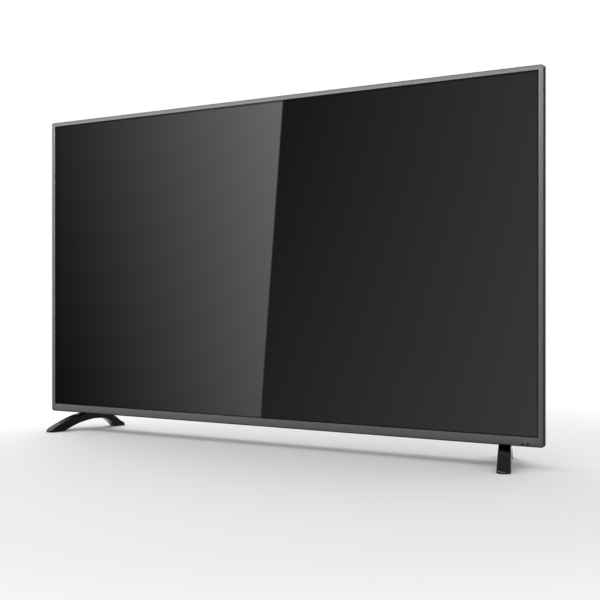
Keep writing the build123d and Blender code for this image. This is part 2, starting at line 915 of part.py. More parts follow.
def foot_screw_places():
    """X and Y of the two screws of the right foot."""
    places = []
    for side in (-1, 1):
        spot = foot_place() * Pos(foot_crest() + side * foot_screw_spacing / 2, 0)
        places.append((spot.position.X, spot.position.Y))
    return places


def foot_profile():
    """Side outline of the arched foot, along its length and height."""
    run = foot_run()
    tip = foot_width / 2
    low = pad_thickness

    def spots(shares):
        return [(run * along, floor_gap * up) for along, up in shares]

    nose, heel = (-tip, foot_tip_height), (run + tip, foot_tip_height)
    crest_front = (run * foot_crest_front_share, floor_gap)
    crest_rear = (run * foot_crest_rear_share, floor_gap)
    arch_front, arch_rear = (run * foot_heel_front_share, low), (run * foot_heel_rear_share, low)
    edges = [
        Spline(nose, *spots(foot_front_top_shares), crest_front,
               tangents=[(1, foot_nose_slope_share), (1, 0)]),
        Line(crest_front, crest_rear),
        Spline(crest_rear, *spots(foot_rear_top_shares), heel,
               tangents=[(1, 0), (1, foot_heel_slope_share)]),
        Line(heel, (run + tip, low)),
        Line((run + tip, low), arch_rear),
        Spline(arch_rear, *reversed(spots(foot_arch_shares)), arch_front),
        Line(arch_front, (-tip, low)),
        Line((-tip, low), nose),
    ]
    return make_face(edges)


def crown_edges(foot):
    """Edges where the upper faces of the foot meet its sides and its ends."""
    crown = [face for face in foot.faces() if face.normal_at().Z > foot_crown_share]
    edges = [edge for face in crown for edge in face.edges()]
    return [edge for edge in edges if sum(edge.is_same(other) for other in edges) == 1]


def make_foot():
    """Right foot: an arch with round ends, a locating key on top and two deep screw holes."""
    run = foot_run()
    plan = Pos(run / 2, 0) * SlotOverall(run + foot_width, foot_width)
    body = extrude(Plane.XY.offset(pad_thickness) * plan, amount=floor_gap - pad_thickness,
                   taper=foot_draft_angle)
    side = Plane((0, foot_width, 0), x_dir=(1, 0, 0), z_dir=(0, -1, 0)) * foot_profile()
    foot = body & extrude(side, amount=2 * foot_width)
    foot = fillet(crown_edges(foot), foot_edge_radius)
    crest = foot_crest()
    foot += level(Pos(crest, 0) * Rectangle(foot_key_length, foot_key_width),
                  (floor_gap, floor_gap + foot_key_height))
    for side_sign in (-1, 1):
        x = crest + side_sign * foot_screw_spacing / 2
        foot -= rod(foot_screw_radius + seat_gap, (x, 0, 0), (x, 0, floor_gap + overrun))
        foot -= rod(foot_screw_head_radius + seat_gap, (x, 0, 0), (x, 0, floor_gap - foot_screw_wall))
    return foot_place() * foot


def make_foot_pads():
    """Thin rubber pads under both ends of each foot."""
    run = foot_run()
    pads = []
    ends = ((-foot_width / 2 + pad_margin, run * foot_heel_front_share - pad_margin),
            (run * foot_heel_rear_share + pad_margin / 2, run + foot_width / 2 - pad_margin))
    plan = Pos(run / 2, 0) * SlotOverall(run + foot_width - 2 * pad_margin, foot_width - 2 * pad_margin)
    for low, high in ends:
        cut = Pos((low + high) / 2, 0) * Rectangle(high - low, foot_width)
        pads += both_sides(foot_place() * level(plan & cut, (0, pad_thickness)))
    return pads


def make_foot_screws():
    """Screws that reach up through the feet into the brackets."""
    screws = []
    seat = floor_gap - foot_screw_wall
    for x, y in foot_screw_places():
        screw = rod(foot_screw_radius, (x, y, seat), (x, y, floor_gap + foot_screw_engagement))
        screw += rod(foot_screw_head_radius, (x, y, seat - foot_screw_head_height), (x, y, seat))
        screws += both_sides(screw)
    return screws


# Circuit boards

def main_board_limits():
    """X and Z limits of the main board."""
    return (main_board_left, main_board_right), (height(main_board_bottom), height(main_board_top))


def power_board_limits():
    """X and Z limits of the power board."""
    return (-power_board_outer, -power_board_inner), (height(power_board_bottom), height(power_board_top))


def timing_board_limits():
    """X and Z limits of the timing board."""
    low = height(timing_board_bottom)
    return (-timing_board_half_width, timing_board_half_width), (low, low + timing_board_height)


def post_places(limits):
    """The four posts of one board, near its corners."""
    (left, right), (low, top) = limits
    return [(x, z) for x in (left + post_inset, right - post_inset)
            for z in (low + post_inset, top - post_inset)]


def make_board(limits):
    """Plain board with a hole over each of its posts."""
    y_limits = (depth(board_depth), depth(board_rear))
    board = upright(panel(*limits), y_limits)
    holes = [rod(post_neck_radius + running_gap, (x, depth(board_depth - overrun), z),
                 (x, depth(board_rear + overrun), z)) for x, z in post_places(limits)]
    return board - holes


def make_board_posts():
    """Snap-in posts that hold the boards off the back plate."""
    posts = []
    for limits in (main_board_limits(), power_board_limits(), timing_board_limits()):
        for x, z in post_places(limits):
            post = rod(post_radius, (x, depth(plate_rear), z), (x, depth(board_depth), z))
            post += rod(post_neck_radius, (x, depth(board_depth), z), (x, depth(board_rear), z))
            post += rod(post_head_radius, (x, depth(board_rear), z),
                        (x, depth(board_rear + post_head_height), z))
            posts.append(post)
    return posts


def make_timing_board():
    """Timing board in the middle, with its chip."""
    (left, right), (low, top) = timing_board_limits()
    half = timing_chip_size / 2
    middle_x, middle_z = (left + right) / 2, (low + top) / 2
    chip_y = (depth(board_rear), depth(board_rear + timing_chip_height))
    chip = block((middle_x - half, middle_x + half), chip_y, (middle_z - half, middle_z + half))
    return make_board(timing_board_limits()) + chip


def make_processor():
    """Main processor on the main board."""
    half = chip_size / 2
    z = height(chip_height_place)
    return block((chip_x - half, chip_x + half), (depth(board_rear), depth(board_rear + chip_height)),
                 (z - half, z + half))


def make_processor_heatsink():
    """Finned aluminium block on the processor."""
    half = sink_size / 2
    z = height(chip_height_place)
    front = board_rear + chip_height
    x_limits, z_limits = (chip_x - half, chip_x + half), (z - half, z + half)
    sink = block(x_limits, (depth(front), depth(front + sink_base)), z_limits)
    for place in spread(sink_fin_count, sink_size - sink_fin_thickness):
        x = chip_x + place
        sink += block((x - sink_fin_thickness / 2, x + sink_fin_thickness / 2),
                      (depth(front + sink_base), depth(front + sink_height)), z_limits)
    return sink


def make_tuner_can():
    """Folded metal can over the tuner, open towards its board."""
    x_limits = (aerial_x - tuner_width / 2, aerial_x + tuner_width / 2)
    low = height(main_board_bottom + aerial_nut_thickness)
    can = block(x_limits, (depth(board_rear), depth(board_rear + tuner_depth)), (low, low + tuner_height))
    inner_x = (x_limits[0] + tuner_wall, x_limits[1] - tuner_wall)
    return can - block(inner_x, (depth(board_rear - overrun), depth(board_rear + tuner_depth - tuner_wall)),
                       (low + tuner_wall, low + tuner_height - tuner_wall))


def aerial_y():
    """Y of the aerial socket's axis."""
    return depth(board_rear + tuner_depth / 2)


def make_aerial_socket():
    """Threaded sleeve of the aerial socket, standing out into the recess."""
    x, y = aerial_x, aerial_y()
    top = height(main_board_bottom + aerial_nut_thickness)
    mouth = height(recess_step_height - aerial_reach)
    sleeve = rod(aerial_radius, (x, y, mouth), (x, y, top))
    nut = rod(aerial_nut_radius, (x, y, top - aerial_nut_thickness), (x, y, top))
    nut += rod(aerial_shoulder_radius, (x, y, mouth + aerial_reach), (x, y, top))
    floor = (x, y, mouth + aerial_core_length)
    room = rod(aerial_core_radius, (x, y, mouth - overrun), floor)
    core = rod(aerial_core_radius - tuner_wall, (x, y, mouth + tuner_wall), floor)
    contact = rod(aerial_contact_radius, (x, y, mouth - overrun), floor)
    return sleeve + nut - room + (core - contact)


# Sockets, each modelled with its mouth at the origin facing down and its length going up

def place_down(shape, x, thickness):
    """Set a socket shape in the upper wall of the wide part of the recess."""
    return Pos(x, depth(board_rear + thickness / 2), height(recess_step_height)) * shape


def place_side(shape, z, thickness):
    """Set a socket shape in the inner wall of the tall part of the recess."""
    return Pos(recess_step_x, depth(board_rear + thickness / 2), height(z)) * Rot(0, -90, 0) * shape


def place_inlet(shape):
    """Set the power inlet in the upper wall of its recess."""
    x = -(inlet_recess_inner + inlet_recess_outer) / 2
    return Pos(x, depth(board_rear + inlet_size[1] / 2), height(inlet_recess_top)) * shape


def down_sockets():
    """Outer size and X of the sockets that face down."""
    return [(hdmi_size, hdmi_down_x), (network_size, network_x), (optical_size, optical_x)]


def side_sockets():
    """Outer size and height of the sockets that face sideways."""
    sockets = [(hdmi_size, z) for z in hdmi_side_heights]
    sockets += [(usb_size, z) for z in usb_side_heights]
    return sockets + [(jack_size, jack_side_height)]


def shell_with_mouth(size, mouth):
    """Block with a rectangular mouth in its lower end."""
    shell = Pos(0, 0, size[2] / 2) * Box(*size)
    return shell - Pos(0, 0, (mouth[2] - overrun) / 2) * Box(mouth[0], mouth[1], mouth[2] + overrun)


def tongued_socket(size, mouth, tongue):
    """Socket with a contact tongue that stands in its mouth."""
    tongue_middle = mouth[2] - tongue[2] / 2
    return shell_with_mouth(size, mouth) + Pos(0, 0, tongue_middle) * Box(*tongue)


def make_hdmi_sockets():
    """Three picture and sound inputs, one facing down and two sideways."""
    socket = tongued_socket(hdmi_size, hdmi_mouth, hdmi_tongue)
    return [place_down(socket, hdmi_down_x, hdmi_size[1])] + [
        place_side(socket, z, hdmi_size[1]) for z in hdmi_side_heights]


def make_usb_sockets():
    """Two serial bus sockets that face sideways."""
    socket = tongued_socket(usb_size, usb_mouth, usb_tongue)
    return [place_side(socket, z, usb_size[1]) for z in usb_side_heights]


def make_network_socket():
    """Network socket with the notch for the plug's latch."""
    socket = shell_with_mouth(network_size, network_mouth)
    latch_y = network_mouth[1] / 2
    latch = Pos(0, latch_y, (network_mouth[2] - overrun) / 2) * Box(
        network_latch[0], 2 * network_latch[1], network_mouth[2] + overrun)
    latch = latch & Pos(0, network_latch[1] / 2, 0) * Box(
        network_size[0], network_mouth[1] + network_latch[1], 2 * network_size[2])
    return place_down(socket - latch, network_x, network_size[1])


def make_headphone_jack():
    """Round headphone socket."""
    body = Pos(0, 0, jack_size[2] / 2) * Box(*jack_size)
    return place_side(body - rod(jack_radius, (0, 0, -overrun), (0, 0, jack_depth)),
                      jack_side_height, jack_size[1])


def shutter_axis():
    """Y and Z of the shutter's pins, from the middle of the optical socket's mouth."""
    y = -optical_mouth[1] / 2 + shutter_size[2] / 2 + running_gap + seat_gap / 2
    return y, shutter_set_back + shutter_size[2] / 2


def make_optical_socket():
    """Optical sound output, with holes in its cheeks for the shutter's pins."""
    socket = shell_with_mouth(optical_size, optical_mouth)
    y, z = shutter_axis()
    reach = optical_mouth[0] / 2 + shutter_pin_length
    holes = rod(shutter_pin_radius + running_gap, (-reach, y, z), (reach, y, z))
    return place_down(socket - holes, optical_x, optical_size[1])


def make_optical_shutter():
    """Little flap that closes the optical socket and swings inwards on two pins."""
    y, z = shutter_axis()
    half = shutter_size[0] / 2
    thick = shutter_size[2]
    flap = block((-half, half), (y, y - thick / 2 + shutter_size[1]), (z - thick / 2, z + thick / 2))
    flap += rod(thick / 2, (-half, y, z), (half, y, z))
    reach = optical_mouth[0] / 2 + shutter_pin_length - running_gap
    flap += rod(shutter_pin_radius, (-reach, y, z), (reach, y, z))
    return place_down(flap, optical_x, optical_size[1])


# Power board parts

def make_power_inlet():
    """Two-pin power inlet in its own recess."""
    body = Pos(0, 0, inlet_size[2] / 2) * Box(*inlet_size)
    body -= level(SlotOverall(*inlet_mouth), (-overrun, inlet_depth))
    for side in (-1, 1):
        x = side * inlet_pin_spacing / 2
        body += rod(inlet_pin_radius, (x, 0, inlet_depth - inlet_pin_length), (x, 0, inlet_depth))
    return place_inlet(body)


def make_transformers():
    """Wound transformers: a core with a bobbin through it."""
    pieces = []
    for offset, place in transformer_places:
        x = power_board_inner + offset
        z = height(place)
        half_x, half_z = transformer_size[0] / 2, transformer_size[1] / 2
        bobbin_x = (-x - half_x + transformer_step, -x + half_x - transformer_step)
        bobbin_y = (depth(board_rear), depth(board_rear + transformer_size[2]))
        bobbin = block(bobbin_x, bobbin_y, (z - half_z, z + half_z))
        core_y = (depth(board_rear + transformer_step / 2),
                  depth(board_rear + transformer_size[2] + transformer_step / 2))
        pieces.append(bobbin + block((-x - half_x, -x + half_x), core_y,
                                     (z - transformer_core / 2, z + transformer_core / 2)))
    return pieces


def make_capacitors():
    """Tall round capacitors."""
    capacitors = []
    for offset, place in capacitor_places:
        x, z = -power_board_inner - offset, height(place)
        capacitors.append(rod(capacitor_radius, (x, depth(board_rear), z),
                              (x, depth(board_rear + capacitor_height), z)))
    return capacitors


def make_power_heatsinks():
    """Bent aluminium heatsinks that stand on the power board."""
    sinks = []
    for offset, place in power_sink_places:
        x = power_board_inner + offset
        low = height(place) - power_sink_length / 2
        wall_y = (depth(board_rear), depth(board_rear + power_sink_height))
        z_limits = (low, low + power_sink_length)
        sink = block((-x, -x + power_sink_thickness), wall_y, z_limits)
        sink += block((-x, -x + power_sink_fin), (wall_y[1] - power_sink_thickness, wall_y[1]), z_limits)
        sinks.append(sink)
    return sinks


# Loudspeakers, modelled for the right side and mirrored for the left

def speaker_middle_x():
    """X of the right loudspeaker's middle, a gap away from the foot's bracket."""
    return bracket_limits()[0] - speaker_bracket_gap - speaker_length / 2


def speaker_middle_y():
    """Y of the loudspeaker's middle."""
    return depth((speaker_front_depth + speaker_rear_depth) / 2)


def driver_outline(length, width):
    """Slot outline about the middle of the right driver."""
    return Pos(speaker_middle_x(), speaker_middle_y()) * SlotOverall(length, width)


def driver_bottom():
    """Height of the driver's lower face above the lower edge of the case."""
    return speaker_bottom - driver_flange


def make_speaker_box():
    """Closed plastic box behind the driver."""
    x_limits = (speaker_middle_x() - speaker_length / 2, speaker_middle_x() + speaker_length / 2)
    y_limits = (depth(speaker_front_depth), depth(speaker_rear_depth))
    z_limits = (height(speaker_bottom), height(speaker_bottom + speaker_height))
    box = block(x_limits, y_limits, z_limits)
    wall = speaker_wall
    box -= block(*[(pair[0] + wall, pair[1] - wall) for pair in (x_limits, y_limits, z_limits)])
    throat = driver_outline(driver_throat_length + 2 * driver_wall + seat_gap,
                            driver_throat_width + 2 * driver_wall + seat_gap)
    return box - level(throat, (z_limits[0] - overrun, z_limits[0] + wall + seat_gap))


def make_speaker_driver():
    """Steel basket with its flange, fixed surround and magnet."""
    low = height(driver_bottom())
    flange_top = low + driver_flange
    basket_top = flange_top + basket_height
    throat = driver_outline(driver_throat_length, driver_throat_width)
    driver = level(driver_outline(driver_length, driver_width) - throat, (low, flange_top))
    wall = driver_outline(driver_throat_length + 2 * driver_wall, driver_throat_width + 2 * driver_wall)
    driver += level(wall, (flange_top, basket_top)) - level(throat, (flange_top, basket_top - driver_wall))
    surround_z = low + cone_set_up
    surround = throat - driver_outline(cone_length + 2 * seat_gap, cone_width + 2 * seat_gap)
    driver += level(surround, (surround_z, surround_z + surround_thickness))
    magnet = Pos(speaker_middle_x(), speaker_middle_y()) * Rectangle(magnet_length, magnet_width)
    driver += level(magnet, (basket_top, basket_top + magnet_height))
    gap_outer, gap_inner = coil_radius + seat_gap, coil_radius - coil_wall - seat_gap
    coil_room = Pos(speaker_middle_x(), speaker_middle_y()) * (Circle(gap_outer) - Circle(gap_inner))
    return driver - level(coil_room, (basket_top - overrun, basket_top + magnet_height - driver_wall))


def make_speaker_cone():
    """Paper cone with its voice coil, free to slide in the driver."""
    low = height(driver_bottom() + cone_set_up)
    top = low + cone_height

    def horn(drop):
        sections = [Plane.XY.offset(low - drop) * driver_outline(cone_length, cone_width),
                    Plane.XY.offset(top - drop) * driver_outline(cone_neck_length, cone_neck_width)]
        return loft([section.faces()[0] for section in sections], ruled=True)

    cone = horn(0) - horn(cone_thickness)
    middle = Pos(speaker_middle_x(), speaker_middle_y())
    coil = middle * (Circle(coil_radius) - Circle(coil_radius - coil_wall))
    return cone + level(coil, (top - cone_thickness / 2, top + coil_height))


# Five-way key

def key_spot(height_above=0):
    """Point on the key's axis, that far above the lower edge of the case."""
    return Pos(0, depth(key_depth), height(height_above))


def key_square(size, z_limits):
    """Square block about the key's axis."""
    outline = Pos(0, depth(key_depth)) * Rectangle(size, size)
    return level(outline, (height(z_limits[0]), height(z_limits[1])))


def key_rod(radius, z_limits):
    """Round bar along the key's axis."""
    return level(Pos(0, depth(key_depth)) * Circle(radius), (height(z_limits[0]), height(z_limits[1])))


def key_pins(direction, near, far, radius):
    """Two pins in line through the pivot, along X or Y."""
    pins = []
    for side in (-1, 1):
        start = key_spot(key_pivot_height) * Pos(*(side * near * part for part in direction))
        end = key_spot(key_pivot_height) * Pos(*(side * far * part for part in direction))
        pins.append(rod(radius, tuple(start.position), tuple(end.position)))
    return pins


def make_key_housing():
    """Square frame that stands on the lower wall of the cover and carries the key."""
    z_limits = (cover_wall, key_housing_top)
    frame = key_square(key_housing_size, z_limits) - key_square(
        key_cavity_size, (cover_wall - overrun, key_housing_top + overrun))
    return frame - key_pins((1, 0, 0), key_ring_size / 2, key_housing_size, key_pin_radius + running_gap)


def make_key_ring():
    """Outer ring of the key's pivot: it tilts to the front and rear."""
    low = key_pivot_height - key_ring_height / 2
    ring = key_square(key_ring_size, (low, low + key_ring_height)) - key_square(
        key_ring_opening, (low - overrun, low + key_ring_height + overrun))
    ring += key_pins((1, 0, 0), key_ring_size / 2 - key_pin_radius, key_cavity_size / 2 + key_pin_reach,
                     key_pin_radius)
    return ring - key_pins((0, 1, 0), key_stem_size / 2, key_ring_size, key_pin_radius + running_gap)


def make_key_stem():
    """Inner block of the key's pivot: it tilts to the left and right."""
    low = key_pivot_height - key_stem_height / 2
    stem = key_square(key_stem_size, (low, low + key_stem_height))
    stem += key_pins((0, 1, 0), key_stem_size / 2 - key_pin_radius, key_ring_opening / 2 + key_pin_reach,
                     key_pin_radius)
    return stem - key_rod(key_shaft_radius + running_gap, (low - overrun, low + key_stem_height + overrun))


def make_key_cap():
    """Round knob on a shaft that slides up when it is pressed."""
    stem_top = key_pivot_height + key_stem_height / 2
    knob = key_rod(key_knob_radius, (-key_knob_drop, key_knob_top))
    knob = fillet(knob.edges().sort_by(Axis.Z)[0], key_knob_edge_radius)
    knob += key_rod(key_shaft_radius, (key_knob_top, key_shaft_top))
    return knob + key_rod(key_head_radius, (stem_top + seat_gap / 2, key_shaft_top))


def make_key_board():
    """Little board over the key, with the dome that the shaft presses."""
    board = key_square(key_housing_size, (key_housing_top, key_housing_top + thin_board))
    return board + key_rod(key_dome_radius, (key_housing_top - key_dome_height, key_housing_top))


# Wireless board, ribbons and leads

def make_wireless_board():
    """Small wireless board stuck on the back plate."""
    z = height(wireless_height)
    front = plate_rear + seat_gap
    top = front + thin_board
    board = upright(Pos(-wireless_x, z) * Rectangle(*wireless_size), (depth(front), depth(top)))
    shield = Pos(-wireless_x, z) * Rectangle(wireless_shield[0], wireless_shield[1])
    return board + upright(shield, (depth(top), depth(top + wireless_shield[2])))


def make_ribbon_cables():
    """Flat cables from the main board to the timing board and from there to the source boards."""
    half = ribbon_thickness / 2
    landing = depth(board_rear) + half
    arch = landing + ribbon_rise
    left, right = timing_board_half_width - ribbon_landing, main_board_left + ribbon_landing
    points = [(left, landing), (left + ribbon_rise, arch), (right - ribbon_rise, arch), (right, landing)]
    low = height(ribbon_height_place) - ribbon_width / 2
    cables = [ribbon(Plane.XY.offset(low), points, ribbon_thickness, ribbon_bend_radius, ribbon_width)]
    board_y = depth(source_board_front() + thin_board) + half
    top = height(timing_board_bottom + ribbon_landing)
    foot = height(source_board_bottom + source_board_height - ribbon_landing)
    points = [(landing, top), (arch, top - ribbon_rise), (arch, foot + ribbon_landing), (board_y, foot)]
    cables += both_sides(ribbon(Plane.YZ.offset(source_ribbon_offset - source_ribbon_width / 2), points,
                                ribbon_thickness, ribbon_bend_radius, source_ribbon_width))
    return cables


def lead(points):
    """Round lead along straight runs joined by arcs."""
    path = FilletPolyline(*points, radius=lead_bend_radius)
    return sweep(Plane(path @ 0, z_dir=path % 0) * Circle(lead_radius), path=path)


def lead_y():
    """Y of the leads, level with the middle of their plugs."""
    return depth(board_rear + lead_plug_size[2] / 2 + lead_plug_wall)


def lead_plug(x, z):
    """Plug body on a board, which a lead goes into."""
    width, tall, long = lead_plug_size
    return block((x - width / 2, x + width / 2), (depth(board_rear), depth(board_rear + long)),
                 (z - tall / 2, z + tall / 2))


def supply_lead():
    """Lead from the power board to the main board, with a little slack."""
    z = height(lead_heights[0])
    left, right = -power_board_inner - lead_plug_size[0], main_board_left + lead_plug_size[0]
    points = [(left, lead_y(), z), (left + lead_sag_run, lead_y(), z - lead_sag),
              (right - lead_sag_run, lead_y(), z - lead_sag), (right, lead_y(), z)]
    return lead(points) + lead_plug(left, z) + lead_plug(right, z)


def speaker_lead(side, column_x, plug_height):
    """Lead from the main board down its own column and along to one loudspeaker."""
    z = height(plug_height)
    start_x = main_board_left + lead_plug_size[0]
    box_top = height(speaker_bottom + speaker_height)
    channel = box_top + lead_radius + seat_gap
    end_x = side * (speaker_middle_x() + speaker_length / 2 - lead_end_length)
    run = lead([(start_x, lead_y(), z), (column_x, lead_y(), z), (column_x, lead_y(), channel),
                (end_x, lead_y(), channel)])
    wide, tall = lead_plug_size[0], lead_plug_size[1]
    end = block((end_x - wide / 2, end_x + wide / 2), (lead_y() - tall / 2, lead_y() + tall / 2),
                (box_top, channel + lead_radius + lead_plug_wall))
    return run + end + lead_plug(start_x, z)


def make_wire_leads():
    """Leads inside the cover: the supply, and one to each loudspeaker."""
    return [supply_lead(), speaker_lead(1, lead_column_x + lead_pitch, lead_heights[1]),
            speaker_lead(-1, lead_column_x, lead_heights[2])]


def write(name, shape):
    """Write one named piece, or one named group of separate pieces."""
    solids = [solid for item in (shape if isinstance(shape, list) else [shape]) for solid in item.solids()]
    export_step(solids[0] if len(solids) == 1 else Compound(solids), f"parts/{name}.step")


def main():
    """Build and write every piece."""
    os.makedirs("parts", exist_ok=True)
    foot = make_foot()
    box, driver, cone = make_speaker_box(), make_speaker_driver(), make_speaker_cone()
    pieces = {
        "front_bezel": make_front_bezel(),
        "side_frame": make_side_frame(),
        "panel_frame": make_panel_frame(),
        "back_plate": make_back_plate(),
        "heat_spreader": make_heat_spreader(),
        "led_bar": make_led_bar(),
        "leds": make_leds(),
        "source_boards": make_source_boards(),
        "source_films": make_source_films(),
        "rear_cover": make_rear_cover(),
        "cover_screws": make_cover_screws(),
        "wall_mount_posts": make_wall_mount_posts(),
        "foot_brackets": make_foot_brackets(),
        "foot_right": foot,
        "foot_left": mirror(foot, about=Plane.YZ),
        "foot_pads": make_foot_pads(),
        "foot_screws": make_foot_screws(),
        "main_board": make_board(main_board_limits()),
        "power_board": make_board(power_board_limits()),
        "timing_board": make_timing_board(),
        "board_posts": make_board_posts(),
        "processor": make_processor(),
        "processor_heatsink": make_processor_heatsink(),
        "tuner_can": make_tuner_can(),
        "aerial_socket": make_aerial_socket(),
        "hdmi_sockets": make_hdmi_sockets(),
        "usb_sockets": make_usb_sockets(),
        "network_socket": make_network_socket(),
        "headphone_jack": make_headphone_jack(),
        "optical_socket": make_optical_socket(),
        "optical_shutter": make_optical_shutter(),
        "power_inlet": make_power_inlet(),
        "transformers": make_transformers(),
        "capacitors": make_capacitors(),
        "power_heatsinks": make_power_heatsinks(),
        "speaker_box_right": box,
        "speaker_box_left": mirror(box, about=Plane.YZ),
        "speaker_driver_right": driver,
        "speaker_driver_left": mirror(driver, about=Plane.YZ),
        "speaker_cone_right": cone,
        "speaker_cone_left": mirror(cone, about=Plane.YZ),
        "infrared_window": make_infrared_window(),
        "status_light": make_status_light(),
        "infrared_board": make_infrared_board(),
        "wireless_board": make_wireless_board(),
        "key_housing": make_key_housing(),
        "key_ring": make_key_ring(),
        "key_stem": make_key_stem(),
        "key_cap": make_key_cap(),
        "key_board": make_key_board(),
        "ribbon_cables": make_ribbon_cables(),
        "wire_leads": make_wire_leads(),
    }
    pieces.update(make_cell())
    pieces.update(make_light_layers())
    for name, shape in pieces.items():
        write(name, shape)


main()
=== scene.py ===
import json
import logging
import math
from collections.abc import Sequence
from dataclasses import dataclass
from enum import Enum

import bmesh
import bpy
from mathutils import Matrix, Vector


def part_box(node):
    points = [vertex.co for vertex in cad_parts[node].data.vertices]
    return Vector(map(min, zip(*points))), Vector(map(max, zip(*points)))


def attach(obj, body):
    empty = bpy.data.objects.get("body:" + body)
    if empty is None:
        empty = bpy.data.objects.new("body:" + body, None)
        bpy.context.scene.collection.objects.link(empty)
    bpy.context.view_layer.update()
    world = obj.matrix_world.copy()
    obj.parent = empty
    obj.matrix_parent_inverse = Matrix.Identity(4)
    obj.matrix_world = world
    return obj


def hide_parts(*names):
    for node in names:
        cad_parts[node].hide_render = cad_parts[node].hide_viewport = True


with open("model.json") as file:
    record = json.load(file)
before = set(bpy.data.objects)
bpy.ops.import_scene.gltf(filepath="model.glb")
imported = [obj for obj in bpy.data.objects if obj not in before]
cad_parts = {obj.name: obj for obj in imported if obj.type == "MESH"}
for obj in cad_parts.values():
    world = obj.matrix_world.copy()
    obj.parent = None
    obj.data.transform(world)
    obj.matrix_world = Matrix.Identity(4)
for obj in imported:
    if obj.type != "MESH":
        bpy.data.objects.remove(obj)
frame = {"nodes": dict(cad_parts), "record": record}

LOG = logging.getLogger("television")
TELEVISION = "television"
KEY_CAP = "key_cap"
SMOOTH_ANGLE = math.radians(32)

Colour = tuple[float, float, float]
Point = tuple[float, float, float]
Pair = tuple[float, float]
ORIGIN: Point = (0.0, 0.0, 0.0)
RIGHT: Point = (1.0, 0.0, 0.0)
REARWARD: Point = (0.0, 1.0, 0.0)
FORWARD: Point = (0.0, -1.0, 0.0)
UP: Point = (0.0, 0.0, 1.0)
DOWN: Point = (0.0, 0.0, -1.0)
MERGE_DISTANCE = 0.000001
NODE_MERGE_DISTANCE = 0.00001
WHITE = (1.0, 1.0, 1.0, 1.0)
CURVE_OFFSET = 0.055
CURVE_POWER = 2.4


def grey(level: float, warmth: float = 0.0) -> Colour:
    """Linear colour of a display grey.

    Args:
        level: Grey as a display shows it, from 0 to 1.
        warmth: Share by which red is raised and blue is lowered.

    Returns:
        The linear red, green and blue.
    """
    value = linear(level)
    return value * (1 + warmth), value, value * (1 - warmth)


def linear(level: float) -> float:
    """Linear light of one display level.

    Args:
        level: Level as a display shows it, from 0 to 1.

    Returns:
        The light, from 0 to 1.
    """
    if level <= 0.04045:
        return level / 12.92
    return ((level + CURVE_OFFSET) / (1 + CURVE_OFFSET)) ** CURVE_POWER


# Shader building

class Value:
    """A number in a material's maths: sums on it add Math nodes."""

    def __init__(self, net: "Net", source: bpy.types.NodeSocket | float) -> None:
        """Wraps an output socket, or a plain number."""
        self.net = net
        self.source = source

    def combine(self, operation: str, *others: "Value | float") -> "Value":
        """Adds a Math node.

        Args:
            operation: The Math node's operation.
            others: What follows this value in its sockets.

        Returns:
            The node's result.
        """
        node = self.net.node("ShaderNodeMath", dict(enumerate((self, *others))), operation=operation)
        return Value(self.net, node.outputs[0])

    def __add__(self, other: "Value | float") -> "Value":
        """Sum."""
        return self.combine("ADD", other)

    __radd__ = __add__

    def __mul__(self, other: "Value | float") -> "Value":
        """Product."""
        return self.combine("MULTIPLY", other)

    __rmul__ = __mul__

    def __sub__(self, other: "Value | float") -> "Value":
        """Difference."""
        return self.combine("SUBTRACT", other)

    def __rsub__(self, other: float) -> "Value":
        """Difference from a plain number."""
        return Value(self.net, other).combine("SUBTRACT", self)

    def __truediv__(self, other: "Value | float") -> "Value":
        """Quotient."""
        return self.combine("DIVIDE", other)

    def __rtruediv__(self, other: float) -> "Value":
        """Quotient of a plain number."""
        return Value(self.net, other).combine("DIVIDE", self)

    def __pow__(self, other: float) -> "Value":
        """Power."""
        return self.combine("POWER", other)

    def __abs__(self) -> "Value":
        """Size without its sign."""
        return self.combine("ABSOLUTE")

    def sine(self) -> "Value":
        """Sine."""
        return self.combine("SINE")

    def at_least(self, other: "Value | float") -> "Value":
        """The larger of the two."""
        return self.combine("MAXIMUM", other)

    def at_most(self, other: "Value | float") -> "Value":
        """The smaller of the two."""
        return self.combine("MINIMUM", other)

    def step(self, low: float, high: float) -> "Value":
        """Smooth step.

        Args:
            low: Where the result is 0.
            high: Where the result is 1.

        Returns:
            A value from 0 to 1.
        """
        inputs = {0: self, 1: low, 2: high, 3: 0.0, 4: 1.0}
        node = self.net.node("ShaderNodeMapRange", inputs, interpolation_type="SMOOTHSTEP")
        return Value(self.net, node.outputs[0])

    def spread(self, low: float, high: float) -> "Value":
        """This value from 0 to 1, laid between two numbers."""
        return self * (high - low) + low


